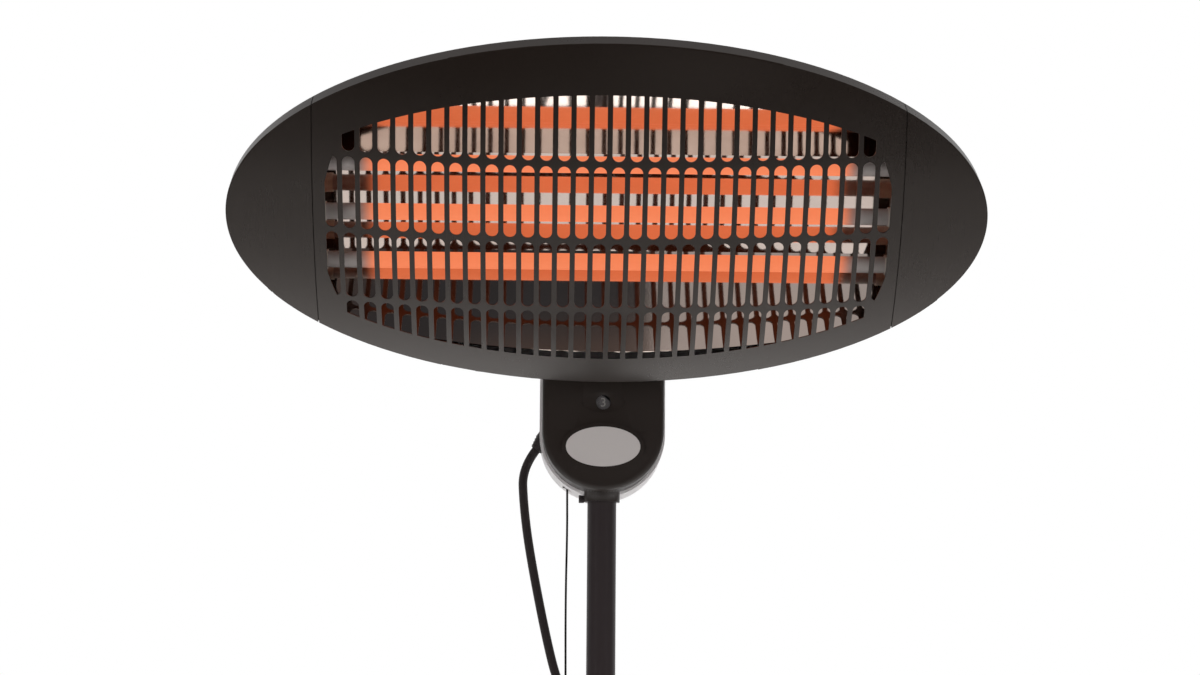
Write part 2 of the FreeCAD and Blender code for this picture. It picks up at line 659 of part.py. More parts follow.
def make_casing():
    """Make the steel pan behind the face, with its lip and vents."""
    walls = []
    for name, inset, floor in (("casing_outer", "0", "0"),
                               ("casing_inner", "casing_sheet", "casing_sheet")):
        loft = doc.addObject("Part::Loft", name)
        loft.Sections = [
            oval_edge(name + "_front", f"head_width - 2 * {inset}", f"head_height - 2 * {inset}",
                      "rim_depth"),
            oval_edge(name + "_back", f"casing_back_width - 2 * {inset}",
                      f"casing_back_height - 2 * {inset}",
                      f"{CASING_BACK} - {floor}"),
        ]
        loft.Solid = True
        walls.append(loft)
    pan = cut("casing_pan", walls[0], [walls[1]])
    lip_out = "2 * (cap_wall + lip_gap)"
    lip_in = f"{lip_out} + 2 * casing_sheet"
    lip = cut("casing_lip", oval("lip_out", f"head_width - {lip_out}", f"head_height - {lip_out}",
                                 "rim_depth - lip_depth", "rim_depth + lip_web"),
              [oval("lip_in", f"head_width - {lip_in}", f"head_height - {lip_in}",
                    "rim_depth - lip_depth", "rim_depth + lip_web")])
    web = cut("casing_web",
              oval("web_out", "head_width - 2 * casing_sheet", "head_height - 2 * casing_sheet",
                                 "rim_depth", "rim_depth + lip_web"),
              [oval("web_in", f"head_width - {lip_in}", f"head_height - {lip_in}", "rim_depth",
                    "rim_depth + lip_web")])
    openings = [cylinder(f"casing_hole_{index}", "screw_diameter + 2 * screw_gap", "2 * casing_sheet",
                         (spot[0], f"{CASING_BACK} - 1.5 * casing_sheet", spot[1]), "y")
                for index, spot in enumerate(casing_screw_spots() + bracket_screw_spots())]
    for index in range(int(size("vent_count"))):
        across = f"({index} - (vent_count - 1) / 2) * vent_pitch"
        openings.append(box(f"vent_{index}",
                            (f"{across} - vent_width / 2", f"{CASING_BACK} - 2 * casing_sheet",
                             "vent_height - vent_length / 2"),
                            (f"{across} + vent_width / 2", f"{CASING_BACK} + casing_sheet",
                             "vent_height + vent_length / 2")))
    finish(cut("casing_cut", fuse("casing_solid", [pan, lip, web]), openings), "rear_casing", "head")


def casing_screw_spots():
    """List where the casing is screwed to the caps."""
    return [(f"{across} * cap_boss_across", f"{up} * cap_boss_up") for across in (-1, 1) for up in (-1, 1)]


def bracket_screw_spots():
    """List where the tilt bracket is screwed to the casing."""
    rows = ("plate_top + screw_head", "plate_bottom - screw_head")
    return [(f"{across} * (plate_width / 2 - screw_head)", f"-({row})") for across in (-1,
                                                                                       1) for row in rows]


def make_head_screws():
    """Make the screws of the casing and the tilt bracket."""
    screws = []
    seats = [(spot, CASING_BACK, "screw_length") for spot in casing_screw_spots()]
    seats += [(spot, f"{CASING_BACK} + ear_sheet", "2 * ear_sheet") for spot in bracket_screw_spots()]
    for index, (spot, seat, length) in enumerate(seats):
        head = cylinder(f"screw_head_{index}", "screw_head", "screw_head_depth", (spot[0], seat, spot[1]),
                        "y")
        shank = cylinder(f"screw_shank_{index}", "screw_diameter", length,
                         (spot[0], f"{seat} - {length}", spot[1]), "y")
        screws.append(fuse(f"head_screw_{index}", [head, shank]))
    finish(group("head_screw_group", screws), "head_screws", "head")


# Reflector, tubes and their holders

def make_reflector():
    """Make the bent polished trough, trimmed to follow the face, and its posts."""
    flat = "reflector_flat / 2"
    out = f"{flat} + reflector_spread"
    front = "reflector_depth - reflector_rise"
    back = "reflector_depth + reflector_sheet"
    bent = padded("bent_sheet", "YZ_Plane",
                  [(front, out), ("reflector_depth", flat), ("reflector_depth", f"-({flat})"),
                   (front, f"-({out})"),
                   (f"{front} + reflector_sheet", f"-({out})"), (back, f"-({flat})"), (back, flat),
                   (f"{front} + reflector_sheet", out)], "reflector_length")
    inside = common("reflector_front", bent, dome("reflector_dome", "reflector_room"))
    finish(common("reflector_trim", inside,
                  oval("reflector_oval", "head_width - reflector_inset", "head_height - reflector_inset",
                       "-head_width", "head_width")), "reflector", "head")
    posts = [cylinder(f"standoff_{across}_{up}", "standoff_diameter",
                      f"{CASING_BACK} - casing_sheet - ({back})",
                      (f"{across} * standoff_across", back, f"{up} * standoff_up"), "y")
             for across in (-1, 1) for up in (-1, 1)]
    finish(group("standoffs", posts), "reflector_standoffs", "head")


# Each tube and its level on the face
TUBES = (("top", "tube_lift + tube_spacing"), ("middle", "tube_lift"), ("bottom", "tube_lift - tube_spacing"))


def make_tubes():
    """Make the three quartz tubes, their windings, ceramics, brackets and terminal strips."""
    ceramics = []
    for place_name, level in TUBES:
        finish(tube(f"{place_name}_quartz", "tube_diameter", "tube_diameter - 2 * tube_wall", "tube_length",
                    ("-tube_length / 2", "tube_setback", level), "x"), f"quartz_tube_{place_name}", "head")
        wire_end = f"{CERAMIC_END} + lead_overhang"
        wire = cylinder(f"{place_name}_wire", "lead_diameter", f"2 * ({wire_end})",
                        (f"-({wire_end})", "tube_setback", level), "x")
        winding = cylinder(f"{place_name}_winding", "element_diameter", "element_length",
                           ("-element_length / 2", "tube_setback", level), "x")
        finish(fuse(f"{place_name}_element", [wire, winding]), f"heating_element_{place_name}", "head")
        for side, start in (("left", f"-({CERAMIC_END})"), ("right", CERAMIC_START)):
            name = f"{side}_{place_name}_ceramic"
            seat = f"-({CERAMIC_START}) - ceramic_seat" if side == "left" else CERAMIC_START
            body = cylinder(name + "_body", "ceramic_diameter", "ceramic_length",
                            (start, "tube_setback", level), "x")
            pocket = cylinder(name + "_pocket", "tube_diameter + 2 * seat_gap", "ceramic_seat",
                              (seat, "tube_setback", level), "x")
            hole = cylinder(name + "_hole", "lead_diameter + 2 * seat_gap", "ceramic_length",
                            (start, "tube_setback", level), "x")
            ceramics.append(cut(name, body, [pocket, hole]))
    finish(group("ceramic_group", ceramics), "tube_end_ceramics", "head")
    make_tube_brackets()
    make_terminal_strips()


def make_tube_brackets():
    """Make the plate at each end of the reflector that the ceramics sit in."""
    flat = "reflector_flat / 2"
    slope = "reflector_spread / reflector_rise"
    waist = "tube_setback + ceramic_diameter / 2"
    wide = f"{flat} + ({slope}) * (reflector_depth - ({waist}))"
    for side, sign in (("left", "-1"), ("right", "1")):
        plate = padded(f"{side}_bracket_plate", "YZ_Plane",
                       [("reflector_depth", flat), ("reflector_depth", f"-({flat})"), (waist, f"-({wide})"),
                        ("-bracket_front", f"-({flat}) - ceramic_diameter"),
                        ("-bracket_front", f"{flat} + ceramic_diameter"), (waist, wide)], "bracket_sheet")
        place(plate, (f"{sign} * (reflector_length + bracket_sheet) / 2", "0", "0"))
        holes = [cylinder(f"{side}_{name}_seat", "ceramic_diameter + 2 * seat_gap", "2 * head_width",
                          ("-head_width", "tube_setback", level), "x") for name, level in TUBES]
        inside = oval(f"{side}_bracket_oval", "head_width - reflector_inset", "head_height - reflector_inset",
                      "-head_width", "head_width")
        finish(cut(f"{side}_bracket", common(f"{side}_bracket_trim", plate, inside), holes),
               f"{side}_tube_bracket", "head")


def make_terminal_strips():
    """Make the strip that joins the left end wires and the three tabs on the right ones."""
    start = f"{CERAMIC_END} + lead_overhang / 4"
    low = "tube_setback - strip_width / 2"
    high = "tube_setback + strip_width / 2"
    strip = box("left_strip",
                (f"-({start}) - strip_sheet", low, "tube_lift - tube_spacing - strip_width / 2"),
                (f"-({start})", high, "tube_lift + tube_spacing + strip_width / 2"))
    tabs = [box(f"right_tab_{name}", (start, low, f"{level} - strip_width / 2"),
                (f"{start} + strip_sheet", high, f"{level} + strip_width / 2")) for name, level in TUBES]
    holes = [cylinder(f"strip_hole_{name}", "lead_diameter + 2 * seat_gap", "2 * head_width",
                      ("-head_width", "tube_setback", level), "x") for name, level in TUBES]
    finish(cut("strip_cut", group("strips", [strip] + tabs), holes), "terminal_strips", "head")


# Tilt hinge

def make_tilt_hinge():
    """Make the bracket on the casing, the bolt through its ears and the knob."""
    back = CASING_BACK
    plate = box("bracket_base", ("-plate_width / 2", back, "-plate_bottom"),
                ("plate_width / 2", f"{back} + ear_sheet", "-plate_top"))
    arms = []
    for side, start in (("left", f"-({EAR_OUTER})"), ("right", EAR_INNER)):
        arm = padded(f"{side}_arm", "YZ_Plane",
                     [(back, "-plate_top"), (f"{back} + 3 * ear_sheet", "-plate_top"),
                      ("hinge_back + ear_round", "-plate_bottom"),
                      ("hinge_back + ear_round", "-hinge_drop"),
                      ("hinge_back - ear_round", "-hinge_drop"),
                      ("hinge_back - ear_round", "-hinge_drop + ear_round"),
                      (back, "-casing_back_height / 2 - casing_sheet")], "ear_sheet")
        place(arm, (f"({start}) + ear_sheet / 2", "0", "0"))
        end = cylinder(f"{side}_arm_end", "2 * ear_round", "ear_sheet",
                       (start, "hinge_back", "-hinge_drop"), "x")
        arms += [arm, end]
    holes = [cylinder("ear_hole", "bolt_diameter + 2 * bolt_gap", "plate_width",
                      ("-plate_width / 2", "hinge_back", "-hinge_drop"), "x")]
    holes += [cylinder(f"plate_hole_{index}", "screw_diameter + 2 * screw_gap", "2 * ear_sheet",
                       (spot[0], f"{back} - ear_sheet / 2", spot[1]), "y")
              for index, spot in enumerate(bracket_screw_spots())]
    finish(cut("bracket_cut", fuse("bracket_solid", [plate] + arms), holes), "tilt_bracket", "head")

    shaft_end = f"{EAR_OUTER} + knob_gap + knob_depth"
    hinge = ("hinge_back", "-hinge_drop")
    head = cylinder("bolt_head_part", "bolt_head", "bolt_head_depth",
                    (f"-({EAR_OUTER}) - bolt_head_depth",) + hinge, "x")
    shaft = cylinder("bolt_shaft", "bolt_diameter", f"({EAR_OUTER}) + {shaft_end}",
                     (f"-({EAR_OUTER})",) + hinge, "x")
    finish(fuse("bolt_solid", [head, shaft]), "tilt_bolt", "head")

    start = f"{EAR_OUTER} + knob_gap"
    grip = star_knob("tilt_grip", "knob_diameter", "knob_depth", (start,) + hinge)
    bore = cylinder("tilt_grip_bore", "bolt_diameter + 2 * bolt_gap", "2 * knob_depth", (start,) + hinge,
                    "x")
    finish(cut("tilt_knob_cut", grip, [bore]), "tilt_knob", "head")


# Neck box: core, covers and what they show

def make_neck_core():
    """Make the casting that carries the hinge on top and takes the pole below."""
    barrel = cylinder("barrel", "barrel_diameter", "barrel_width", ("-barrel_width / 2", "0", "0"), "x")
    post = box("post", ("-post_width / 2", "-post_depth / 2", "-socket_top"),
               ("post_width / 2", "post_depth / 2", "0"))
    socket = cylinder("socket", "socket_diameter", "collar_top - hinge_gap - socket_top",
                      ("0", "0", "-collar_top + hinge_gap"))
    bolt_hole = cylinder("barrel_bore", "bolt_diameter + 2 * bolt_gap", "barrel_width",
                         ("-barrel_width / 2", "0", "0"), "x")
    pole_hole = cylinder("socket_bore", "pole_diameter + 2 * seat_gap", f"collar_top - ({POLE_TOP})",
                         ("0", "0", "-collar_top"))
    finish(cut("core_cut", fuse("core_solid", [barrel, post, socket]), [bolt_hole, pole_hole]), "neck_core",
           "neck")


def neck_slab(name, inset, lid, start, end):
    """Make the box's outline between two depths, straight above and round below, inset on top by a lid."""
    half = f"(neck_width / 2 - ({inset}))"
    upper = box(name + "_upper", (f"-{half}", start, "-neck_round"), (half, end, f"-neck_top - ({lid})"))
    lower = cylinder(name + "_lower", f"2 * {half}", f"({end}) - ({start})", ("0", start, "-neck_round"),
                     "y")
    return fuse(name, [upper, lower])


def cover_boss_spots():
    """List where the two covers are screwed together."""
    return [(f"{across} * cover_boss_{level}_across", f"-cover_boss_{level}")
            for level in ("high", "low") for across in (-1, 1)]


def collar_half(name, start, end):
    """Make half of the collar under the box, in front of or behind the pole's middle."""
    ring = cylinder(name + "_ring", "collar_diameter", "collar_bottom - collar_top",
                    ("0", "0", "-collar_bottom"))
    zone = box(name + "_zone", ("-collar_diameter", start, "-2 * collar_bottom"),
               ("collar_diameter", end, "0"))
    return common(name, ring, zone)


def pole_passage(name):
    """Make the hole for the pole through a cover's floor and collar."""
    return cylinder(name, "pole_diameter + 2 * collar_gap", "collar_bottom - neck_round",
                    ("0", "0", "-collar_bottom"))


def post_passage(name):
    """Make the hole for the post through a cover's top."""
    return box(name, ("-post_width / 2 - post_gap", "-post_depth / 2 - post_gap", "-neck_round"),
               ("post_width / 2 + post_gap", "post_depth / 2 + post_gap", "0"))


def make_front_cover():
    """Make the black front cover, its oval plate and its window."""
    front = "-neck_front"
    wall = size("neck_wall")
    outer = rounded("front_outer", neck_slab("front_block", "0", "0", front, "0"), size("front_round"),
                    -size("neck_front"))
    hollow = rounded("front_hollow",
                     neck_slab("front_cavity", "neck_wall", "neck_wall", f"{front} + neck_wall", "neck_wall"),
                     size("front_round") - wall, wall - size("neck_front"))
    shell = cut("front_shell", outer, [hollow])
    plinth = oval("front_plinth", "plinth_width", "plinth_height", f"{front} - plinth_rise",
                  f"{front} + neck_wall / 2",
                  "label_drop")
    bosses = [cylinder(f"front_boss_{index}", "cover_boss", "neck_front - neck_wall / 2",
                       (spot[0], f"{front} + neck_wall / 2", spot[1]), "y")
              for index, spot in enumerate(cover_boss_spots())]
    posts = common("front_bosses", fuse("front_boss_group", bosses), outer)
    solid = fuse("front_solid",
                 [shell, plinth, posts, collar_half("front_collar", "-collar_diameter", "0")])
    holes = [cylinder(f"front_hole_{index}", "cover_screw + 2 * screw_gap", "neck_front",
                      (spot[0], f"{front} + 3 * neck_wall", spot[1]), "y")
             for index, spot in enumerate(cover_boss_spots())]
    window = cylinder("window_hole", "window_diameter + 2 * seat_gap", "2 * neck_wall",
                      ("0", f"{front} - neck_wall / 2", "-window_drop"), "y")
    recess = oval("window_recess", "recess_width", "recess_height", f"{front} - neck_wall",
                  f"{front} + recess_depth",
                  "window_drop")
    finish(cut("front_cut", solid,
               holes + [window, recess, pole_passage("front_pole"), post_passage("front_post")]),
           "neck_front_cover", "neck")
    finish(oval("label_oval", "label_width", "label_height", f"{front} - plinth_rise - label_sheet",
                f"{front} - plinth_rise", "label_drop"), "label_plate", "neck")
    finish(cylinder("lens", "window_diameter", "window_sheet",
                    ("0", f"{front} + recess_depth", "-window_drop"), "y"),
           "window_lens", "neck")


def make_rear_shell():
    """Make the silver rear shell and the screws that hold the covers together."""
    wall = size("neck_wall")
    outer = rounded("rear_outer", neck_slab("rear_block", "-shell_step", "0", "0", "neck_rear"),
                    size("rear_round"), size("neck_rear"))
    hollow = rounded("rear_hollow",
                     neck_slab("rear_cavity", "neck_wall", "neck_wall", "-neck_wall",
                               "neck_rear - neck_wall"),
                     size("rear_round") - wall, size("neck_rear") - wall)
    shell = cut("rear_skin", outer, [hollow])
    bosses = [cylinder(f"rear_boss_{index}", "cover_boss", "neck_rear - neck_wall / 2",
                       (spot[0], "0", spot[1]), "y")
              for index, spot in enumerate(cover_boss_spots())]
    posts = common("rear_bosses", fuse("rear_boss_group", bosses), outer)
    solid = fuse("rear_solid", [shell, posts, collar_half("rear_collar", "0", "collar_diameter")])
    seat = "neck_rear - rear_round + neck_wall"
    holes = []
    screws = []
    for index, (across, up) in enumerate(cover_boss_spots()):
        holes.append(cylinder(f"rear_hole_{index}", "cover_screw + 2 * screw_gap", "2 * neck_rear",
                              (across, "-neck_rear", up), "y"))
        holes.append(cylinder(f"rear_sink_{index}", "cover_screw_head + 4 * screw_gap", "neck_rear",
                              (across, seat, up), "y"))
        head = cylinder(f"cover_screw_top_{index}", "cover_screw_head", "neck_wall", (across, seat, up),
                        "y")
        shank = cylinder(f"cover_screw_shank_{index}", "cover_screw", "cover_screw_length",
                         (across, f"{seat} - cover_screw_length", up), "y")
        screws.append(fuse(f"cover_screw_{index}", [head, shank]))
    eyelet_hole = cylinder("eyelet_hole", "eyelet_diameter + 2 * seat_gap",
                           "eyelet_bottom - eyelet_top + 2 * neck_wall",
                           ("-cord_across", "cord_back", "-eyelet_bottom - 2 * neck_wall"))
    grub_hole = cylinder("collar_grub_hole", "grub_diameter + 2 * screw_gap", "collar_diameter",
                         ("-collar_diameter", "grub_back", "-grub_drop"), "x")
    gland_hole = slanted("gland_hole", "boot_diameter + 2 * seat_gap", "boot_diameter + 2 * seat_gap",
                         "boot_straight + boot_taper", GLAND_START, GLAND_WAY)
    finish(cut("rear_cut", solid, holes + [eyelet_hole, grub_hole, gland_hole, pole_passage("rear_pole"),
                                           post_passage("rear_post")]), "neck_rear_shell", "neck")
    finish(group("cover_screws", screws), "neck_screws", "neck")


# Switch, lever, indicator disc and pull cord

def make_switch():
    """Make the pull switch with its lever pin, and the lever."""
    bottom = "neck_rear - neck_wall"
    body = box("switch_body", ("-switch_left", "switch_front", "-switch_bottom"),
               ("-switch_right", bottom, "-switch_top"))
    bore = cylinder("switch_bore", "shaft_diameter + 2 * bolt_gap", "shaft_seat",
                    ("-disc_across", "switch_front", "-disc_drop"), "y")
    pin_start = "cord_back - lever_depth / 2"
    pin = cylinder("lever_pin", "pin_diameter", f"switch_front - ({pin_start}) + lever_depth",
                   ("-lever_across", pin_start, "-lever_drop"), "y")
    finish(fuse("switch_solid", [cut("switch_cut", body, [bore]), pin]), "pull_switch", "neck")

    lever = box("lever_bar", ("-lever_end", pin_start, "-lever_drop - lever_height / 2"),
                ("-lever_tail", "cord_back + lever_depth / 2", "-lever_drop + lever_height / 2"))
    eye = cylinder("lever_eye", "2 * lever_height", "lever_depth",
                   ("-lever_across", pin_start, "-lever_drop"), "y")
    slot = box("lever_opening",
               ("-lever_slot_out", "cord_back - lever_slot / 2", "-lever_drop - lever_height"),
               ("-lever_slot_in", "cord_back + lever_slot / 2", "-lever_drop + lever_height"))
    hole = cylinder("lever_hole", "pin_diameter + 2 * bolt_gap", "2 * lever_depth",
                    ("-lever_across", f"{pin_start} - lever_depth / 2", "-lever_drop"), "y")
    finish(cut("lever_cut", fuse("lever_solid", [lever, eye]), [slot, hole]), "switch_lever", "neck")


def make_indicator():
    """Make the numbered disc behind the window, with its shaft into the switch."""
    front = "-neck_front + neck_wall + disc_room"
    disc = cylinder("disc", "disc_diameter", "disc_sheet", ("-disc_across", front, "-disc_drop"), "y")
    shaft = cylinder("disc_shaft", "shaft_diameter", f"switch_front + shaft_seat / 2 - ({front})",
                     ("-disc_across", front, "-disc_drop"), "y")
    finish(fuse("disc_solid", [disc, shaft]), "indicator_disc", "neck")


def make_pull_cord():
    """Make the eyelet, the hanging cord with its knot, and the toggle on its end."""
    spot = ("-cord_across", "cord_back")
    finish(tube("eyelet", "eyelet_diameter", "eyelet_bore", "eyelet_bottom - eyelet_top",
                spot + ("-eyelet_bottom",)),
           "cord_eyelet", "neck")
    knot_bottom = "-lever_drop + lever_height / 2 + knot_gap"
    knot = doc.addObject("Part::Sphere", "knot")
    bind(knot, "Radius", "knot_diameter / 2")
    place(knot, spot + (f"{knot_bottom} + knot_diameter / 2",))
    string = cylinder("string", "cord_diameter", "cord_length + knot_diameter / 2",
                      spot + (f"{knot_bottom} - cord_length",))
    finish(fuse("string_and_knot", [knot, string]), "pull_cord", "neck")
    toggle = turned("toggle_turn",
                    [("0", "0"), ("cord_diameter", "0"), ("toggle_diameter / 2", "-toggle_length * 0.7"),
                                    ("toggle_diameter / 2", "-toggle_length * 0.9"),
                                    ("toggle_diameter / 3", "-toggle_length"), ("0", "-toggle_length")])
    place(toggle, spot + (f"{knot_bottom} - cord_length",))
    finish(toggle, "pull_toggle", "neck")


def make_neck_electrics():
    """Make the terminal block and the tip-over switch on the rear wall."""
    wall = "neck_rear - neck_wall"
    block = box("block_body", ("block_left", f"{wall} - block_depth", "-block_top - block_height"),
                ("block_left + block_width", wall, "-block_top"))
    wells = [cylinder(f"block_well_{index}", "block_width / 6", "block_depth / 2",
                      (f"block_left + block_width * ({index} + 0.5) / 3", f"{wall} - block_depth",
                       "-block_top - block_height / 2"), "y") for index in range(3)]
    finish(cut("block_cut", block, wells), "terminal_block", "neck")
    finish(box("tip_body", ("block_left", f"{wall} - tip_depth", "-tip_top - tip_height"),
               ("block_left + tip_width", wall, "-tip_top")), "tip_over_switch", "neck")


# Pole

def make_poles():
    """Make the sliding pole, the two lower tubes and what joins and guides them."""
    stem_bore = "stem_diameter - 2 * stem_wall"
    length = f"hinge_height - ({POLE_TOP}) - ({UPPER_BOTTOM})"
    upper = tube("upper_tube", "pole_diameter", "pole_diameter - 2 * pole_wall", length,
                 ("0", "0", UPPER_BOTTOM))
    grub_hole = cylinder("pole_grub_hole", "grub_diameter + 2 * screw_gap", "pole_diameter",
                         ("-pole_diameter", "grub_back", "hinge_height - grub_drop"), "x")
    inlet_hole = slanted("inlet_hole", "inlet_diameter + 2 * seat_gap", "inlet_diameter + 2 * seat_gap",
                         "inlet_straight + inlet_taper", INLET_START, INLET_WAY, "hinge_height")
    finish(cut("upper_cut", upper, [grub_hole, inlet_hole]), "upper_pole", "base")
    finish(tube("guide", f"{stem_bore} - 2 * slide_gap", "pole_diameter + 2 * seat_gap", "guide_length",
                ("0", "0", UPPER_BOTTOM)), "guide_ring", "base")

    lower = tube("lower_tube", "stem_diameter", stem_bore, f"stem_split - ({STEM_FLOOR})",
                 ("0", "0", STEM_FLOOR))
    outlet_hole = slanted("outlet_hole", "inlet_diameter + 2 * seat_gap", "inlet_diameter + 2 * seat_gap",
                          "outlet_straight + inlet_taper", OUTLET_START, OUTLET_WAY)
    finish(cut("lower_cut", lower, [outlet_hole]), "lower_pole", "base")
    middle = tube("middle_tube", "stem_diameter", stem_bore, "stem_top - stem_split",
                  ("0", "0", "stem_split"))
    finish(cut("middle_cut", middle, [stud_passage("middle_stud")]), "middle_pole", "base")
    sleeve = f"{stem_bore} - 2 * seat_gap"
    finish(tube("coupling", sleeve, f"{sleeve} - 2 * coupling_wall", "coupling_length",
                ("0", "0", "stem_split - coupling_length / 2")), "pole_coupling", "base")
    bush = tube("bush", sleeve, "pole_diameter + 2 * slide_gap", "bush_length",
                ("0", "0", "stem_top - bush_length"))
    finish(cut("bush_cut", bush, [stud_passage("bush_stud")]), "pole_bush", "base")

    face = "-sqrt((collar_diameter / 2)^2 - (grub_back - grub_head / 2)^2)"
    head = cylinder("grub_top", "grub_head", "grub_head_depth",
                    (f"{face} - grub_head_depth", "grub_back", "-grub_drop"), "x")
    shank = cylinder("grub_shank", "grub_diameter", "collar_diameter / 2 - pole_diameter / 2 + pole_wall",
                     (face, "grub_back", "-grub_drop"), "x")
    finish(fuse("grub_solid", [head, shank]), "collar_screw", "neck")


def stud_passage(name):
    """Make the hole for the clamp stud through one side of a tube."""
    return cylinder(name, "stud_diameter + 4 * seat_gap", "stem_diameter", ("0", "0", CLAMP_MIDDLE), "x")


def make_height_clamp():
    """Make the clamp on top of the middle pole and its hand knob."""
    body = cylinder("clamp_body", "clamp_diameter", "clamp_length + clamp_lip",
                    ("0", "0", "stem_top - clamp_length"))
    boss = cylinder("clamp_boss_part", "clamp_boss", "clamp_boss_reach", ("0", "0", CLAMP_MIDDLE), "x")
    bore = cylinder("clamp_bore", "stem_diameter + 2 * seat_gap", "clamp_length",
                    ("0", "0", "stem_top - clamp_length"))
    neck = cylinder("clamp_neck", "pole_diameter + 2 * clamp_gap", "2 * clamp_lip",
                    ("0", "0", "stem_top - clamp_lip / 2"))
    thread = cylinder("clamp_thread", "stud_diameter + 2 * bolt_gap", "2 * clamp_boss_reach",
                      ("0", "0", CLAMP_MIDDLE), "x")
    finish(cut("clamp_cut", fuse("clamp_solid", [body, boss]), [bore, neck, thread]), "height_clamp",
           "base")
    tip = "pole_diameter / 2 + stud_gap"
    start = "clamp_boss_reach + knob_gap"
    stud = cylinder("clamp_stud", "stud_diameter", f"{start} - ({tip}) + clamp_knob_depth / 2",
                    (tip, "0", CLAMP_MIDDLE), "x")
    grip = star_knob("clamp_grip", "clamp_knob_diameter", "clamp_knob_depth", (start, "0", CLAMP_MIDDLE))
    finish(fuse("clamp_knob_solid", [stud, grip]), "clamp_knob", "base")


# Base

def make_base():
    """Make the cover, weight, plate, flange, bolts and feet."""
    rim = "base_diameter / 2"
    inside = f"{rim} - base_wall"
    under = "base_top - base_wall"
    plate_top = "foot_height + plate_sheet"
    cover = turned("cover_turn", [("0", under), ("base_shoulder", under), (inside, "base_edge - base_wall"),
                                  (inside, "foot_height"), (rim, "foot_height"), (rim, "base_edge"),
                                  ("base_shoulder", "base_top"), ("0", "base_top")])
    finish(cut("cover_cut", cover, base_bolt_holes("cover")), "base_cover", "base")
    weight = cylinder("weight_disc", "weight_diameter", f"{under} - ({plate_top})", ("0", "0", plate_top))
    finish(cut("weight_cut", weight, base_bolt_holes("weight")), "base_weight", "base")
    plate = cylinder("plate_disc", f"2 * ({inside} - plate_room)", "plate_sheet", ("0", "0", "foot_height"))
    finish(cut("plate_cut", plate, base_bolt_holes("plate")), "base_plate", "base")
    flange = cylinder("flange_disc", "flange_diameter", "flange_sheet", ("0", "0", "base_top"))
    socket = cylinder("flange_tube", "flange_socket", "flange_height", ("0", "0", "base_top"))
    bore = cylinder("flange_bore", "stem_diameter + 2 * seat_gap", "flange_height", ("0", "0", STEM_FLOOR))
    finish(cut("flange_cut", fuse("flange_solid", [flange, socket]), [bore] + base_bolt_holes("flange")),
           "pole_flange", "base")
    bolts = []
    for index, (across, deep) in enumerate(ring_spots("flange_bolts", "flange_bolt_circle")):
        head = cylinder(f"bolt_top_{index}", "flange_bolt_head", "flange_bolt_head_depth",
                        (across, deep, "foot_height - flange_bolt_head_depth"))
        shank = cylinder(f"bolt_shank_{index}", "flange_bolt", "base_top + flange_bolt_grip - foot_height",
                         (across, deep, "foot_height"))
        bolts.append(fuse(f"base_bolt_{index}", [head, shank]))
    finish(group("bolt_group", bolts), "base_bolts", "base")
    feet = [cylinder(f"foot_{index}", "foot_diameter", "foot_height", spot + ("0",))
            for index, spot in enumerate(ring_spots("foot_count", "foot_circle"))]
    finish(group("foot_group", feet), "rubber_feet", "base")


def ring_spots(count, circle):
    """List evenly spaced points on a circle about the pole."""
    number = int(size(count))
    return [(f"({circle}) / 2 * cos({index} * 360 / {count})",
             f"({circle}) / 2 * sin({index} * 360 / {count})")
            for index in range(number)]


def base_bolt_holes(name):
    """Make the holes for the base bolts."""
    return [cylinder(f"{name}_bolt_hole_{index}", "flange_bolt + 2 * screw_gap",
                     "base_top + flange_bolt_grip",
                     spot + ("0",))
            for index, spot in enumerate(ring_spots("flange_bolts", "flange_bolt_circle"))]


# Mains lead: boots, free stretches, coil, tie and plug

# Where each boot starts and which way its cable leaves, from the hinge or the floor
GLAND_START = (size("gland_inset") - size("neck_width") / 2, size("gland_back"), -size("gland_drop"))
GLAND_WAY = (-0.6, 0.0, -0.8)
INLET_START = (-size("inlet_across"), -size("inlet_front"), -size("inlet_drop"))
INLET_WAY = (-0.425, 0.124, 0.897)
OUTLET_START = (0.0, size("outlet_back"), size("outlet_height"))
OUTLET_WAY = (0.0, 0.8, -0.6)
PLUG_WAY = (0.65, -0.76, 0.0)

# Share of the shorter run beside a corner that its arc takes
CORNER_SHARE = 0.45


def slanted(name, start, end, length, base, way, lift="0"):
    """Make a tapered bar from a point along any direction."""
    piece = doc.addObject("Part::Cone" if start != end else "Part::Cylinder", name)
    if start != end:
        bind(piece, "Radius1", f"({start}) / 2")
        bind(piece, "Radius2", f"({end}) / 2")
    else:
        bind(piece, "Radius", f"({start}) / 2")
    bind(piece, "Height", length)
    across = math.hypot(way[0], way[1])
    turn = math.degrees(math.atan2(across, way[2]))
    local = (f"placement(vector({base[0]}; {base[1]}; {base[2]} + {lift}); "
             f"rotation(vector({-way[1] / across}; {way[0] / across}; 0); {turn}))")
    local_places[piece.Name] = local
    bind(piece, "Placement", local)
    return piece


def boot(label, frame, thick, straight, taper, base, way):
    """Make a cable boot: a straight part through a wall and a tapered part outside."""
    start = FreeCAD.Vector(*base)
    bend = start + FreeCAD.Vector(*way).normalize() * size(straight)
    body = slanted(label + "_straight", thick, thick, straight, base, way)
    nose = slanted(label + "_taper", thick, "boot_tip", taper, tuple(bend), way)
    finish(fuse(label + "_solid", [body, nose]), label, frame)


def boot_end(straight, taper, base, way):
    """Give the point where a boot ends and its cable starts."""
    return FreeCAD.Vector(*base) + FreeCAD.Vector(*way).normalize() * (size(straight) + size(taper))


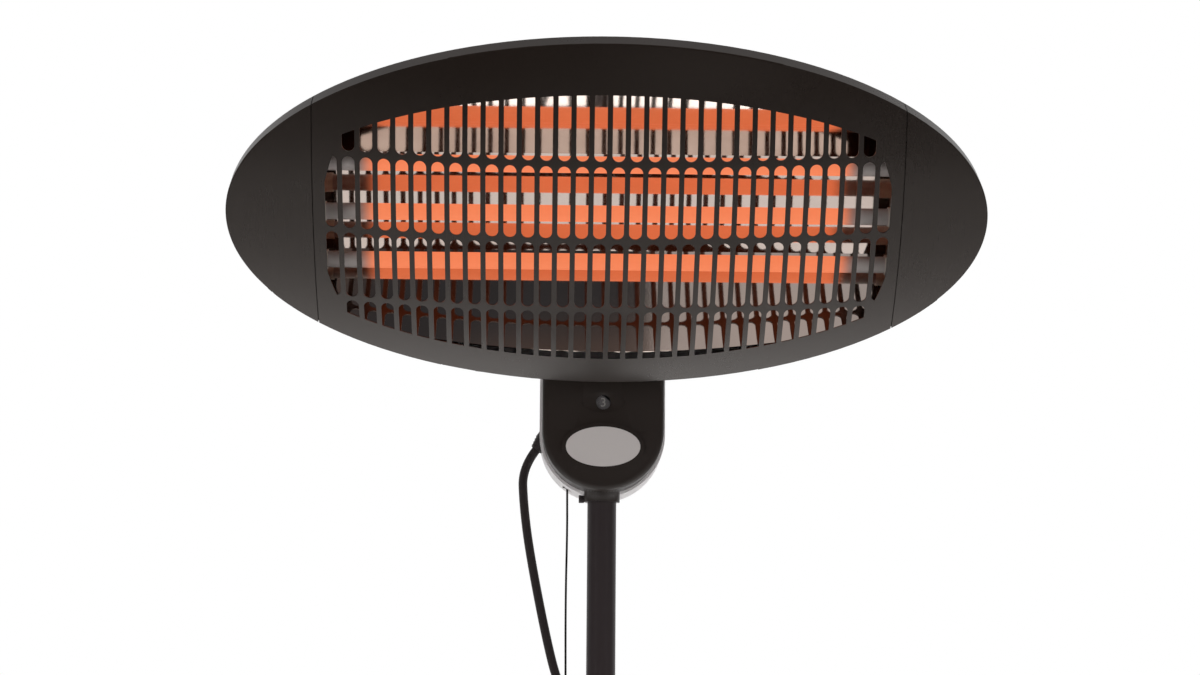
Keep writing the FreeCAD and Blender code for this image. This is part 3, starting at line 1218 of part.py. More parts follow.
def arc_edge(start, way, end):
    """Draw the arc that leaves a point along a direction and ends at another point."""
    chord = end - start
    along = FreeCAD.Vector(chord).normalize()
    rise = way - along * way.dot(along)
    angle = math.atan2(rise.Length, way.dot(along))
    middle = (start + end) * 0.5 + rise.normalize() * (chord.Length / 2 * math.tan(angle / 2))
    return Part.Arc(start, middle, end).toShape()


def route_edges(name, points):
    """Draw straight runs through points, with a tangent arc at every corner."""
    edges = []
    leave = points[0]
    radii = []
    for before, corner, after in zip(points, points[1:], points[2:]):
        into = FreeCAD.Vector(corner - before)
        out = FreeCAD.Vector(after - corner)
        trim = CORNER_SHARE * min(into.Length, out.Length)
        turn = into.getAngle(out)
        radii.append(round(trim / math.tan(turn / 2), 1))
        into.normalize()
        out.normalize()
        arc_start = corner - into * trim
        arc_end = corner + out * trim
        edges.append(Part.LineSegment(leave, arc_start).toShape())
        edges.append(arc_edge(arc_start, into, arc_end))
        leave = arc_end
    edges.append(Part.LineSegment(leave, points[-1]).toShape())
    print(name, "bend radii", radii)
    return edges


def cable_solid(name, edges):
    """Sweep the round lead along a path, and compare its volume with section times length."""
    path = Part.Wire(edges)
    radius = size("lead_cable") / 2
    start = edges[0].valueAt(edges[0].FirstParameter)
    section = Part.Wire([Part.makeCircle(radius, start, edges[0].tangentAt(edges[0].FirstParameter))])
    solid = path.makePipeShell([section], True, False)
    print(name, "length", round(path.Length, 1), "volume ratio",
          round(solid.Volume / (math.pi * radius ** 2 * path.Length), 4))
    return solid


def lead_level():
    """Give the height of the lead's middle in the lower layer of the coil."""
    return size("base_top") + size("tie_sheet") + size("seat_gap") + size("lead_cable") / 2


def coil_point(angle, layer_turn):
    """Give a point of the coil and the direction of the lead there."""
    step = size("coil_step")
    rate = step / (2 * math.pi)
    last = 2 * layer_turn + math.pi
    middle = last / 2
    radius = size("coil_outer") - rate * min(angle, last - angle)
    climb = min(max(angle - layer_turn, 0), math.pi)
    height = lead_level() + step * (1 - math.cos(climb)) / 2
    rise = step / 2 * math.sin(climb)
    flat = abs(angle - middle) < 0.01 or angle in (0, last)
    spread = 0 if flat else math.copysign(rate, angle - middle)
    bearing = math.pi - angle
    point = FreeCAD.Vector(radius * math.cos(bearing), size("coil_back") + radius * math.sin(bearing),
                           height)
    way = FreeCAD.Vector(spread * math.cos(bearing) + radius * math.sin(bearing),
                         spread * math.sin(bearing) - radius * math.cos(bearing), rise)
    return point, way.normalize()


def biarc(start, start_way, end, end_way):
    """Draw two tangent arcs between two points with given directions."""
    chord = end - start
    both = start_way + end_way
    slack = 2 * (1 - start_way.dot(end_way))
    lean = chord.dot(both)
    reach = (math.sqrt(lean * lean + slack * chord.dot(chord)) - lean) / slack
    joint = (start + end) * 0.5 + (start_way - end_way) * (reach / 2)
    last_way = (joint - start - start_way * reach).normalize()
    return [arc_edge(start, start_way, joint), arc_edge(joint, last_way, end)]


def coil_edges():
    """Draw the coil: in on the lower layer, up in half a turn, out on the upper layer."""
    turns = int(size("coil_turns"))
    layer_turn = turns * 2 * math.pi
    quarters = 8 * turns + 2
    spots = [coil_point(index * math.pi / 2, layer_turn) for index in range(quarters + 1)]
    tail = size("lead_cable")
    edges = [Part.LineSegment(spots[0][0] - spots[0][1] * tail, spots[0][0]).toShape()]
    for (start, start_way), (end, end_way) in zip(spots, spots[1:]):
        edges += biarc(start, start_way, end, end_way)
    edges.append(Part.LineSegment(spots[-1][0], spots[-1][0] + spots[-1][1] * tail).toShape())
    return edges


def least_gap(edges):
    """Measure the least room between neighbouring turns of the coil."""
    diameter = size("lead_cable")
    points = Part.Wire(edges).discretize(Distance=2.0)
    skip = int(4 * diameter / 2.0)
    pairs = ((one, other) for index, one in enumerate(points) for other in points[index + skip:])
    return min((one - other).Length for one, other in pairs) - diameter


def make_lead():
    """Make the mains lead outside the tubes, from the box to the plug."""
    boot("cable_gland", "neck", "boot_diameter", "boot_straight", "boot_taper", GLAND_START, GLAND_WAY)
    boot("cable_inlet", "neck", "inlet_diameter", "inlet_straight", "inlet_taper", INLET_START, INLET_WAY)
    boot("cable_outlet", "base", "inlet_diameter", "outlet_straight", "inlet_taper", OUTLET_START,
         OUTLET_WAY)

    box_end = boot_end("boot_straight", "boot_taper", GLAND_START, GLAND_WAY)
    pole_end = boot_end("inlet_straight", "inlet_taper", INLET_START, INLET_WAY)
    upper = [box_end, box_end + FreeCAD.Vector(*GLAND_WAY) * size("gland_run")]
    upper += [FreeCAD.Vector(-size(spot + "_across"), size(spot + "_back"), -size(spot + "_drop"))
              for spot in ("bow", "lean", "near")]
    upper += [pole_end + FreeCAD.Vector(*INLET_WAY) * size("inlet_run"), pole_end]
    finish(shaped("upper_stretch", cable_solid("upper stretch", route_edges("upper stretch", upper))),
           "power_cable", "neck")

    coil = coil_edges()
    level = lead_level()
    outer = size("coil_outer")
    behind = size("coil_back") - size("lead_cable")
    stem_end = boot_end("outlet_straight", "inlet_taper", OUTLET_START, OUTLET_WAY)
    middle = size("coil_back")
    lower = [stem_end, stem_end + FreeCAD.Vector(*OUTLET_WAY) * size("outlet_run"),
             FreeCAD.Vector(-size("fall_across"), size("fall_back"), size("fall_height")),
             FreeCAD.Vector(-size("landing_across"), middle - outer, level),
             FreeCAD.Vector(-outer, middle - size("approach_run"), level),
             FreeCAD.Vector(-outer, behind, level)]
    finish(shaped("lower_stretch", cable_solid("lower stretch", route_edges("lower stretch", lower))),
           "cable_lower_run", "base")
    finish(shaped("coil_sweep", cable_solid("coil", coil)), "cable_coil", "base")
    print("coil least gap", round(least_gap(coil), 2))

    upper_level = level + size("coil_step")
    plug_way = FreeCAD.Vector(*PLUG_WAY)
    last_bend = FreeCAD.Vector(outer + size("coil_step"), middle - size("plug_run"), upper_level)
    plug_start = last_bend + plug_way * size("plug_lead")
    plug_run = [FreeCAD.Vector(outer, behind, upper_level),
                FreeCAD.Vector(outer, middle - size("leave_run"), upper_level), last_bend, plug_start]
    finish(shaped("plug_stretch", cable_solid("plug stretch", route_edges("plug stretch", plug_run))),
           "cable_plug_run", "base")
    make_tie()
    make_plug(plug_start, math.degrees(math.atan2(plug_way.y, plug_way.x)))


def make_tie():
    """Make the tie round the coil on the side towards the pole."""
    near = "coil_back - (coil_outer - 0.75 * coil_step + lead_cable / 2 + tie_room)"
    far = "coil_back - (coil_outer - (coil_turns - 0.25) * coil_step - lead_cable / 2 - tie_room)"
    top = "base_top + tie_sheet + lead_cable + coil_step + tie_room"
    outer = box("tie_outer", ("-tie_width / 2", f"{near} - tie_sheet", "base_top"),
                ("tie_width / 2", f"{far} + tie_sheet", f"{top} + tie_sheet"))
    inner = box("tie_inner", ("-tie_width", near, "base_top + tie_sheet"), ("tie_width", far, top))
    finish(cut("tie_cut", outer, [inner]), "coil_tie", "base")


def make_plug(start, bearing):
    """Make a three-pin plug that lies on its back with the pins up."""
    FRAMES["plug"] = (f"placement(vector({start.x}; {start.y}; {start.z}); "
                      f"rotation(vector(0; 0; 1); {bearing}))")
    half = f"({start.z} - base_top)"
    back = "plug_boot + plug_length"
    side = "plug_width / 2"
    body = padded("plug_block", "XY_Plane",
                  [("plug_boot", f"-0.55 * {side}"), ("plug_boot + plug_length * 0.3", f"-{side}"),
                   (f"{back} - plug_length * 0.15", f"-{side}"), (back, f"-0.7 * {side}"),
                   (back, f"0.7 * {side}"),
                   (f"{back} - plug_length * 0.15", side), ("plug_boot + plug_length * 0.3", side),
                   ("plug_boot", f"0.55 * {side}")], f"2 * {half}")
    nose = cone("plug_nose", "boot_tip", "boot_diameter", "plug_boot", ORIGIN, "x")
    finish(fuse("plug_solid", [body, nose]), "plug_body", "plug")
    line = "plug_boot + plug_length * 0.28"
    pins = [box(f"flat_pin_{sign}", (line, f"{sign} * pin_spread / 2 - pin_width / 2", half),
                (f"{line} + pin_sheet", f"{sign} * pin_spread / 2 + pin_width / 2", f"{half} + pin_length"))
            for sign in (-1, 1)]
    pins.append(box("earth_pin", (f"{line} + pin_rise", "-pin_sheet / 2", half),
                    (f"{line} + pin_rise + earth_width", "pin_sheet / 2", f"{half} + earth_length")))
    finish(group("pin_group", pins), "plug_pins", "plug")


def write_parts():
    """Check every object and write one file for each node."""
    doc.recompute()
    faults = [item.Name for item in doc.Objects if "Invalid" in item.State or "Error" in item.State]
    if faults:
        raise RuntimeError("objects with faults: " + ", ".join(faults))
    os.makedirs("parts", exist_ok=True)
    for piece in nodes:
        shape = piece.Shape
        if shape.isNull() or not shape.isValid():
            raise RuntimeError("bad shape: " + piece.Label)
        print(piece.Label, len(shape.Solids), "solids", round(shape.Volume, 1))
        shape.exportStep(os.path.join("parts", piece.Label + ".step"))


make_face()
make_casing()
make_head_screws()
make_reflector()
make_tubes()
make_tilt_hinge()
make_neck_core()
make_front_cover()
make_rear_shell()
make_switch()
make_indicator()
make_pull_cord()
make_neck_electrics()
make_poles()
make_height_clamp()
make_base()
make_lead()
write_parts()
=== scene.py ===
import json
import logging
import math
from dataclasses import dataclass
from enum import Enum
from typing import Any, Callable, Iterable, Sequence

import bmesh
import bpy
from mathutils import Matrix, Vector


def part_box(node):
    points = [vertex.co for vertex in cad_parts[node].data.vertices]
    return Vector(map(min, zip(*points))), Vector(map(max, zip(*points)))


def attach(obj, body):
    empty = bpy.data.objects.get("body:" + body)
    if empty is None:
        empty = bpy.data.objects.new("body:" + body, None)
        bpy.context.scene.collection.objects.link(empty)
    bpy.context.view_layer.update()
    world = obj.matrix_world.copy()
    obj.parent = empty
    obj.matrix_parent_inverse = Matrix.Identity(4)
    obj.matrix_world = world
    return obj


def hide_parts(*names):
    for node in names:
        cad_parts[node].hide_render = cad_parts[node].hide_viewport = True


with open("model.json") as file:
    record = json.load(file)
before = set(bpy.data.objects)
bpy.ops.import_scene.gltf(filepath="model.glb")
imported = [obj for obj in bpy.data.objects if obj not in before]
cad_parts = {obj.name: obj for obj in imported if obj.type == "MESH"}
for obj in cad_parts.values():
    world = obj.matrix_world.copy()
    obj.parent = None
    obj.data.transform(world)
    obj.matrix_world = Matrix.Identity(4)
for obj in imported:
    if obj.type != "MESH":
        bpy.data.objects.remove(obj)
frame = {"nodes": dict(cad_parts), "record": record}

LOG = logging.getLogger("quartz_heater")
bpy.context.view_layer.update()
MM = 0.001
WELD = 1e-6
EDGE_BREAK = 0.8 * MM
EDGE_ANGLE = math.radians(35.0)
FLAT_TOP = 0.02 * MM
HINGE_HEIGHT = 1680 * MM
BACKWARDS = Vector((0.0, 1.0, 0.0))
HEAD_TURN = -35.0
Colour = tuple[float, float, float]


class Body(Enum):
    """Rigid bodies of the heater that a piece can ride on."""

    BASE = "base"
    UPPER = "upper"
    HEAD = "head"
    PULL = "pull"
    INDICATOR = "indicator"


class Axis(Enum):
    """Direction that a brushed or drawn texture runs along."""

    ACROSS = (1.0, 0.02, 1.0)
    UPRIGHT = (1.0, 1.0, 0.02)


class Value:
    """A shader socket that takes part in plain arithmetic."""

    def __init__(self, tree: bpy.types.NodeTree, socket: bpy.types.NodeSocket) -> None:
        """Keep the tree and the output socket."""
        self.tree = tree
        self.socket = socket

    def _math(self, operation: str, *others: "Value | float") -> "Value":
        """Add one Math node.

        Args:
            operation: the Math node's operation.
            others: the second and third operands.

        Returns:
            The node's result.
        """
        node = self.tree.nodes.new("ShaderNodeMath")
        node.operation = operation
        for index, item in enumerate((self, *others)):
            if isinstance(item, Value):
                self.tree.links.new(item.socket, node.inputs[index])
            else:
                node.inputs[index].default_value = item
        return Value(self.tree, node.outputs[0])

    def _flip(self, operation: str, other: float) -> "Value":
        """Add one Math node whose first operand is a number."""
        node = self.tree.nodes.new("ShaderNodeMath")
        node.operation = operation
        node.inputs[0].default_value = other
        self.tree.links.new(self.socket, node.inputs[1])
        return Value(self.tree, node.outputs[0])

    def __add__(self, other: "Value | float") -> "Value":
        """Add."""
        return self._math("ADD", other)

    __radd__ = __add__

    def __sub__(self, other: "Value | float") -> "Value":
        """Subtract."""
        return self._math("SUBTRACT", other)

    def __rsub__(self, other: float) -> "Value":
        """Subtract from a number."""
        return self._flip("SUBTRACT", other)

    def __mul__(self, other: "Value | float") -> "Value":
        """Multiply."""
        return self._math("MULTIPLY", other)

    __rmul__ = __mul__

    def __truediv__(self, other: "Value | float") -> "Value":
        """Divide."""
        return self._math("DIVIDE", other)

    def __abs__(self) -> "Value":
        """Drop the sign."""
        return self._math("ABSOLUTE")

    def ramp(self, low: float, high: float) -> "Value":
        """Rise smoothly from 0 at one value to 1 at another.

        Args:
            low: the value that gives 0.
            high: the value that gives 1.

        Returns:
            The eased value.
        """
        node = self.tree.nodes.new("ShaderNodeMapRange")
        node.interpolation_type = "SMOOTHSTEP"
        node.inputs["From Min"].default_value = low
        node.inputs["From Max"].default_value = high
        self.tree.links.new(self.socket, node.inputs["Value"])
        return Value(self.tree, node.outputs["Result"])


class Tree:
    """A node tree under construction."""

    def __init__(self, tree: bpy.types.NodeTree) -> None:
        """Keep the tree."""
        self.tree = tree

    def node(self, kind: str, settings: dict[str, Any] | None = None, **sockets: Any) -> bpy.types.Node:
        """Add any node.

        Args:
            kind: the node's type.
            settings: properties that are set first.
            sockets: values or links of its inputs, with spaces written as underscores.

        Returns:
            The node.
        """
        node = self.tree.nodes.new(kind)
        for name, value in (settings or {}).items():
            setattr(node, name, value)
        for name, value in sockets.items():
            self.feed(node.inputs[name.replace("_", " ")], value)
        return node

    def feed(self, socket: bpy.types.NodeSocket, value: Any) -> None:
        """Set a socket's value, or link it to one or more other sockets."""
        for item in value if isinstance(value, list) else [value]:
            if isinstance(item, Value):
                self.tree.links.new(item.socket, socket)
            elif isinstance(item, bpy.types.NodeSocket):
                self.tree.links.new(item, socket)
            else:
                socket.default_value = item

    def noise(self, where: bpy.types.NodeSocket, scale: float, detail: float = 3.0) -> Value:
        """Give a noise field.

        Args:
            where: coordinates.
            scale: features per unit of the coordinates.
            detail: octaves.

        Returns:
            The noise value.
        """
        node = self.node("ShaderNodeTexNoise", Vector=where, Scale=scale, Detail=detail)
        return Value(self.tree, node.outputs["Fac"])

    def axis(self, where: bpy.types.NodeSocket, name: str) -> Value:
        """Give one coordinate of a vector."""
        return Value(self.tree, self.node("ShaderNodeSeparateXYZ", Vector=where).outputs[name])

    def blend(self, amount: Value, first: Any, second: Any) -> bpy.types.NodeSocket:
        """Mix two colours.

        Args:
            amount: 0 for the first, 1 for the second.
            first: linear colour, or a socket.
            second: linear colour, or a socket.

        Returns:
            The colour socket.
        """
        node = self.node("ShaderNodeMix", {"data_type": "RGBA"})
        self.feed(node.inputs[0], amount)
        for index, colour in ((6, first), (7, second)):
            self.feed(node.inputs[index], (*colour, 1.0) if isinstance(colour, tuple) else colour)
        return node.outputs[2]


class Shader(Tree):
    """One material under construction."""

    def __init__(self, name: str) -> None:
        """Start a material with a Principled shader."""
        self.material = bpy.data.materials.new(name)
        self.material.use_nodes = True
        super().__init__(self.material.node_tree)
        self.surface = self.tree.nodes["Principled BSDF"]

    def place(self, turn: float = 0.0, stretch: Sequence[float] = (1.0, 1.0, 1.0)) -> bpy.types.NodeSocket:
        """Give the object's own coordinates, turned about X and stretched.

        Args:
            turn: degrees about X.
            stretch: scale along each axis.

        Returns:
            The vector socket.
        """
        source = self.node("ShaderNodeTexCoord").outputs["Object"]
        turned = self.node("ShaderNodeMapping", Vector=source, Rotation=(math.radians(turn), 0.0, 0.0))
        return self.node("ShaderNodeMapping", Vector=turned.outputs[0], Scale=tuple(stretch)).outputs[0]

    def bump(self, height: Value, distance: float) -> bpy.types.NodeSocket:
        """Turn a height into a normal.

        Args:
            height: height field, 0 to 1.
            distance: metres for a height of 1.

        Returns:
            The normal socket.
        """
        return self.node("ShaderNodeBump", Height=height, Distance=distance, Strength=1.0).outputs[0]

    def set(self, **sockets: Any) -> None:
        """Set inputs of the Principled shader, with spaces written as underscores."""
        for name, value in sockets.items():
            self.feed(self.surface.inputs[name.replace("_", " ")], value)


def rgb(red: int, green: int, blue: int) -> Colour:
    """Turn a display colour into a linear one."""
    parts = (red / 255, green / 255, blue / 255)
    return tuple(v / 12.92 if v <= 0.04045 else ((v + 0.055) / 1.055) ** 2.4 for v in parts)


@dataclass(frozen=True)
class Coating:
    """Paint, plastic, rubber or stone: a body colour with mottling, grain and fine bump."""

    name: str
    colour: Colour
    shade: Colour
    roughness: float
    spread: float
    grain: float
    bump: float
    brush: Axis | None = None
    turn: float = 0.0
    gloss_tint: Colour = (1.0, 1.0, 1.0)
    gloss: float = 0.5

    def build(self) -> bpy.types.Material:
        """Make the material."""
        shader = Shader(self.name)
        stretch = self.brush.value if self.brush else (1.0, 1.0, 1.0)
        where = shader.place(self.turn, stretch)
        fine = shader.noise(where, self.grain, 4.0)
        broad = shader.noise(shader.place(self.turn), 14.0, 2.0)
        shader.set(Base_Color=shader.blend(fine * 0.6 + broad * 0.4, self.colour, self.shade),
                   Roughness=(fine - 0.5) * self.spread + (broad - 0.5) * self.spread + self.roughness,
                   Normal=shader.bump(fine, self.bump),
                   Specular_Tint=(*self.gloss_tint, 1.0), Specular_IOR_Level=self.gloss)
        return shader.material


@dataclass(frozen=True)
class Metal:
    """Bare metal with drawn lines and light staining."""

    name: str
    colour: Colour
    stain: Colour
    roughness: float
    spread: float
    grain: float
    bump: float
    brush: Axis = Axis.ACROSS
    turn: float = 0.0

    def build(self) -> bpy.types.Material:
        """Make the material."""
        shader = Shader(self.name)
        lines = shader.noise(shader.place(self.turn, self.brush.value), self.grain, 3.0)
        cloud = shader.noise(shader.place(self.turn), 22.0, 3.0)
        shader.set(Metallic=1.0, Base_Color=shader.blend(cloud.ramp(0.35, 0.75), self.colour, self.stain),
                   Roughness=(lines - 0.5) * self.spread + (cloud - 0.5) * self.spread + self.roughness,
                   Normal=shader.bump(lines, self.bump))
        return shader.material


@dataclass(frozen=True)
class GlowingQuartz:
    """Milky quartz tube that glows along its winding and stays grey at its ends."""

    name: str = "glowing_quartz"
    lit: Colour = (0.82, 0.195, 0.082)
    warm: Colour = (0.22, 0.07, 0.035)
    grey: Colour = (0.42, 0.38, 0.36)
    half_glow: float = 157 * MM
    fade: float = 7 * MM

    def build(self) -> bpy.types.Material:
        """Make the material."""
        shader = Shader(self.name)
        where = shader.place()
        from_middle = abs(shader.axis(where, "X"))
        glow = 1 - from_middle.ramp(self.half_glow - self.fade, self.half_glow + self.fade)
        cloud = shader.noise(where, 90.0, 2.0)
        tint = shader.blend(cloud, self.lit, (self.lit[0], self.lit[1] * 1.12, self.lit[2] * 1.12))
        shader.set(Base_Color=shader.blend(glow, self.grey, self.warm), Emission_Strength=1.0,
                   Emission_Color=shader.blend(glow, (0.0, 0.0, 0.0), tint), Roughness=cloud * 0.1 + 0.45,
                   Specular_IOR_Level=0.15)
        return shader.material


@dataclass(frozen=True)
class ClearWindow:
    """Smoked window that lets the dial show through."""

    name: str = "smoked_window"
    colour: Colour = (0.02, 0.02, 0.022)

    def build(self) -> bpy.types.Material:
        """Make the material."""
        shader = Shader(self.name)
        cloud = shader.noise(shader.place(), 400.0, 2.0)
        shader.set(Base_Color=(*self.colour, 1.0), Alpha=cloud * 0.06 + 0.16, Roughness=cloud * 0.05 + 0.06)
        return shader.material


@dataclass(frozen=True)
class WovenCord:
    """Braided string: slanted strands across the cord's own length, with painted shade darkening the
    grooves between them.
    """

    name: str
    colour: Colour
    shade: Colour

    def build(self) -> bpy.types.Material:
        """Make the material."""
        shader = Shader(self.name)
        where = shader.place()
        wave = shader.node("ShaderNodeTexWave", {"wave_type": "BANDS", "bands_direction": "DIAGONAL"},
                           Vector=where, Scale=420.0, Distortion=1.5)
        strand = Value(shader.tree, wave.outputs["Fac"])
        # The darker colour follows the low grooves of the strand bump: painted shade in the grooves, not a
        # second yarn colour.
        shader.set(Base_Color=shader.blend(strand, self.shade, self.colour), Roughness=strand * 0.15 + 0.62,
                   Normal=shader.bump(strand, 0.12 * MM))
        return shader.material


FINISHES = {
    "black_enamel": Coating("black_enamel", rgb(24, 18, 15), rgb(36, 30, 26), 0.30, 0.10, 900.0, 0.02 * MM,
                            brush=Axis.UPRIGHT, turn=HEAD_TURN, gloss_tint=(1.0, 0.93, 0.88)),
    "silver_enamel": Coating("silver_enamel", rgb(188, 184, 184), rgb(200, 197, 197), 0.42, 0.08, 1800.0,
                             0.01 * MM),
    "polished_aluminium": Metal("polished_aluminium", (0.80, 0.68, 0.61), (0.72, 0.60, 0.53), 0.055, 0.03,
                                900.0, 0.002 * MM, turn=HEAD_TURN),
    "quartz": GlowingQuartz(),
    "glowing_wire": Metal("heating_wire", (0.60, 0.30, 0.18), (0.45, 0.2, 0.12), 0.4, 0.1, 900.0,
                          0.01 * MM),
    "steatite": Coating("steatite", rgb(226, 220, 210), rgb(205, 198, 186), 0.72, 0.1, 900.0, 0.03 * MM),
    "zinc_steel": Metal("zinc_steel", (0.62, 0.62, 0.63), (0.50, 0.50, 0.49), 0.32, 0.12, 1200.0,
                        0.01 * MM),
    "black_steel": Coating("black_steel", rgb(50, 44, 45), rgb(58, 52, 53), 0.38, 0.06, 1600.0, 0.012 * MM,
                           gloss=0.2),
    "cast_alloy": Metal("cast_alloy", (0.46, 0.46, 0.46), (0.38, 0.38, 0.37), 0.5, 0.12, 1500.0, 0.05 * MM),
    "black_gloss": Coating("black_gloss", rgb(41, 35, 32), rgb(47, 41, 38), 0.34, 0.05, 2400.0, 0.006 * MM,
                           gloss=0.3),
    "silver_plastic": Coating("silver_plastic", rgb(216, 212, 212), rgb(226, 223, 223), 0.38, 0.08, 2600.0,
                              0.008 * MM),
    "plain_plate": Coating("plain_plate", rgb(200, 194, 191), rgb(210, 204, 202), 0.34, 0.1, 1400.0,
                           0.006 * MM, brush=Axis.ACROSS),
    "clear_lens": ClearWindow(),
    "dial_grey": Coating("dial_grey", rgb(138, 134, 135), rgb(148, 145, 146), 0.55, 0.08, 2000.0,
                         0.01 * MM),
    "switch_plastic": Coating("switch_plastic", rgb(52, 52, 52), rgb(62, 62, 62), 0.5, 0.1, 1800.0,
                              0.02 * MM),
    "pale_plastic": Coating("pale_plastic", rgb(222, 219, 211), rgb(208, 204, 194), 0.5, 0.1, 1800.0,
                            0.02 * MM),
    "black_grip": Coating("black_grip", rgb(36, 34, 34), rgb(46, 44, 44), 0.55, 0.12, 1500.0, 0.05 * MM),
    # The second colour is painted shade for the grooves between the strands.
    "pull_string": WovenCord("pull_string", rgb(44, 40, 40), rgb(20, 18, 18)),
    "black_rubber": Coating("black_rubber", rgb(38, 33, 33), rgb(50, 45, 45), 0.46, 0.12, 1300.0, 0.03 * MM,
                            gloss=0.35),
    "cast_stone": Coating("cast_stone", rgb(176, 173, 167), rgb(132, 130, 126), 0.85, 0.1, 500.0, 0.3 * MM),
    "pin_brass": Metal("pin_brass", (0.76, 0.60, 0.30), (0.62, 0.47, 0.22), 0.28, 0.1, 1200.0, 0.008 * MM),
}


class Finishes:
    """Materials by the record's slot, each made once."""

    def __init__(self) -> None:
        """Start with none made."""
        self._made: dict[str, bpy.types.Material] = {}

    def get(self, slot: str) -> bpy.types.Material:
        """Give a slot's material, making it on first use."""
        if slot not in self._made:
            self._made[slot] = FINISHES[slot].build()
        return self._made[slot]


FINISH = Finishes()
NODE_SLOT = {entry["node"]: entry["material_slot"] for entry in frame["record"]["subparts"]}
NODE_BODY = {node: body for body, nodes in frame["record"]["behaviour"]["bodies"].items() for node in nodes}


def settle(piece: bpy.types.Object, body: str, slot: str, replaces: Iterable[str] = ()) -> bpy.types.Object:
    """Give a new piece the material of its slot and its body, and hide the nodes it replaces.

    Args:
        piece: the new object.
        body: the body it rides on.
        slot: the record's material slot.
        replaces: CAD nodes that it stands for.

    Returns:
        The piece.
    """
    if piece.name not in bpy.context.scene.collection.objects:
        bpy.context.scene.collection.objects.link(piece)
    piece.data.materials.clear()
    piece.data.materials.append(FINISH.get(slot))
    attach(piece, body)
    names = tuple(replaces)
    if names:
        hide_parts(*names)
    LOG.info("%s rides on %s", piece.name, body)
    return piece


class Pattern(Tree):
    """A Geometry Nodes tree for what repeats or follows a path."""

    def __init__(self, name: str) -> None:
        """Start a tree with a way in and a way out."""
        super().__init__(bpy.data.node_groups.new(name, "GeometryNodeTree"))
        for way in ("INPUT", "OUTPUT"):
            self.tree.interface.new_socket("Geometry", in_out=way, socket_type="NodeSocketGeometry")
        self.entry = self.node("NodeGroupInput")
        self.exit = self.node("NodeGroupOutput")
        self._names: dict[str, str] = {}

    def size(self, name: str) -> Value:
        """Add a named size to the tree's inputs."""
        socket = self.tree.interface.new_socket(name, in_out="INPUT", socket_type="NodeSocketFloat")
        self._names[name] = socket.identifier
        return Value(self.tree, self.entry.outputs[name])

    def along(self, height: Value) -> bpy.types.NodeSocket:
        """Give a vector up the pattern's own axis."""
        return self.node("ShaderNodeCombineXYZ", Z=height).outputs[0]

    def move(self, shape: bpy.types.NodeSocket, turn: Sequence[float], height: Value | None = None
             ) -> bpy.types.NodeSocket:
        """Turn a shape and lift it along the pattern's axis.

        Args:
            shape: the geometry.
            turn: degrees about each axis.
            height: the lift, if there is one.

        Returns:
            The moved geometry.
        """
        radians = tuple(math.radians(angle) for angle in turn)
        moved = self.node("GeometryNodeTransform", Geometry=shape, Rotation=radians)
        if height is not None:
            self.feed(moved.inputs["Translation"], self.along(height))
        return moved.outputs[0]

    def join(self, *shapes: bpy.types.NodeSocket) -> bpy.types.NodeSocket:
        """Put shapes together."""
        return self.node("GeometryNodeJoinGeometry", Geometry=list(shapes)).outputs[0]

    def rod(self, diameter: Value, length: Value, sides: int) -> bpy.types.NodeSocket:
        """Make a round rod about the pattern's axis."""
        return self.node("GeometryNodeMeshCylinder", Vertices=sides, Radius=diameter / 2,
                         Depth=length).outputs[0]

    def wire(self, path: bpy.types.NodeSocket, diameter: Value, sides: int) -> bpy.types.NodeSocket:
        """Run a round wire along a path."""
        ring = self.node("GeometryNodeCurvePrimitiveCircle", Resolution=sides,
                         Radius=diameter / 2).outputs[0]
        return self.node("GeometryNodeCurveToMesh", Curve=path, Profile_Curve=ring,
                         Fill_Caps=True).outputs[0]

    def close(self, shape: bpy.types.NodeSocket, slot: str) -> None:
        """End the tree in real geometry with a material."""
        real = self.node("GeometryNodeRealizeInstances", Geometry=shape)
        dressed = self.node("GeometryNodeSetMaterial", Geometry=real.outputs[0], Material=FINISH.get(slot))
        self.feed(self.exit.inputs[0], dressed.outputs[0])

    def grow(self, name: str, sizes: dict[str, float],
             seed: bpy.types.Mesh | None = None) -> bpy.types.Mesh:
        """Run the tree with its sizes set.

        Args:
            name: the new mesh's name.
            sizes: values of the named inputs.
            seed: the mesh that the tree starts from, if it needs one.

        Returns:
            The plain mesh.
        """
        holder = bpy.data.objects.new(name, seed or bpy.data.meshes.new(name + "_seed"))
        bpy.context.scene.collection.objects.link(holder)
        grower = holder.modifiers.new(name, "NODES")
        grower.node_group = self.tree
        for label, value in sizes.items():
            grower[self._names[label]] = value
        shape = plain_mesh(holder, name)
        holder.modifiers.remove(grower)
        bpy.data.objects.remove(holder)
        return shape


def plain_mesh(holder: bpy.types.Object, name: str) -> bpy.types.Mesh:
    """Turn an object with its modifiers into a plain mesh."""
    bpy.context.view_layer.update()
    mesh = bpy.data.meshes.new_from_object(holder.evaluated_get(bpy.context.evaluated_depsgraph_get()))
    mesh.name = name
    return mesh


def head_tops(mesh: bpy.types.Mesh, way: Vector) -> list[tuple[Vector, float]]:
    """Find the flat top of each separate screw in a mesh.

    Args:
        mesh: several screws, merged.
        way: direction that their heads face.

    Returns:
        The middle and the radius of each top.
    """
    work = bmesh.new()
    work.from_mesh(mesh)
    left = set(work.verts)
    tops = []
    while left:
        pile = [left.pop()]
        screw = []
        while pile:
            corner = pile.pop()
            screw.append(corner.co.copy())
            for edge in corner.link_edges:
                other = edge.other_vert(corner)
                if other in left:
                    left.remove(other)
                    pile.append(other)
        level = max(point.dot(way) for point in screw)
        rim = [point for point in screw if point.dot(way) > level - FLAT_TOP]
        middle = sum(rim, Vector()) / len(rim)
        tops.append((middle, max((point - middle).length for point in rim)))
    work.free()
    return tops


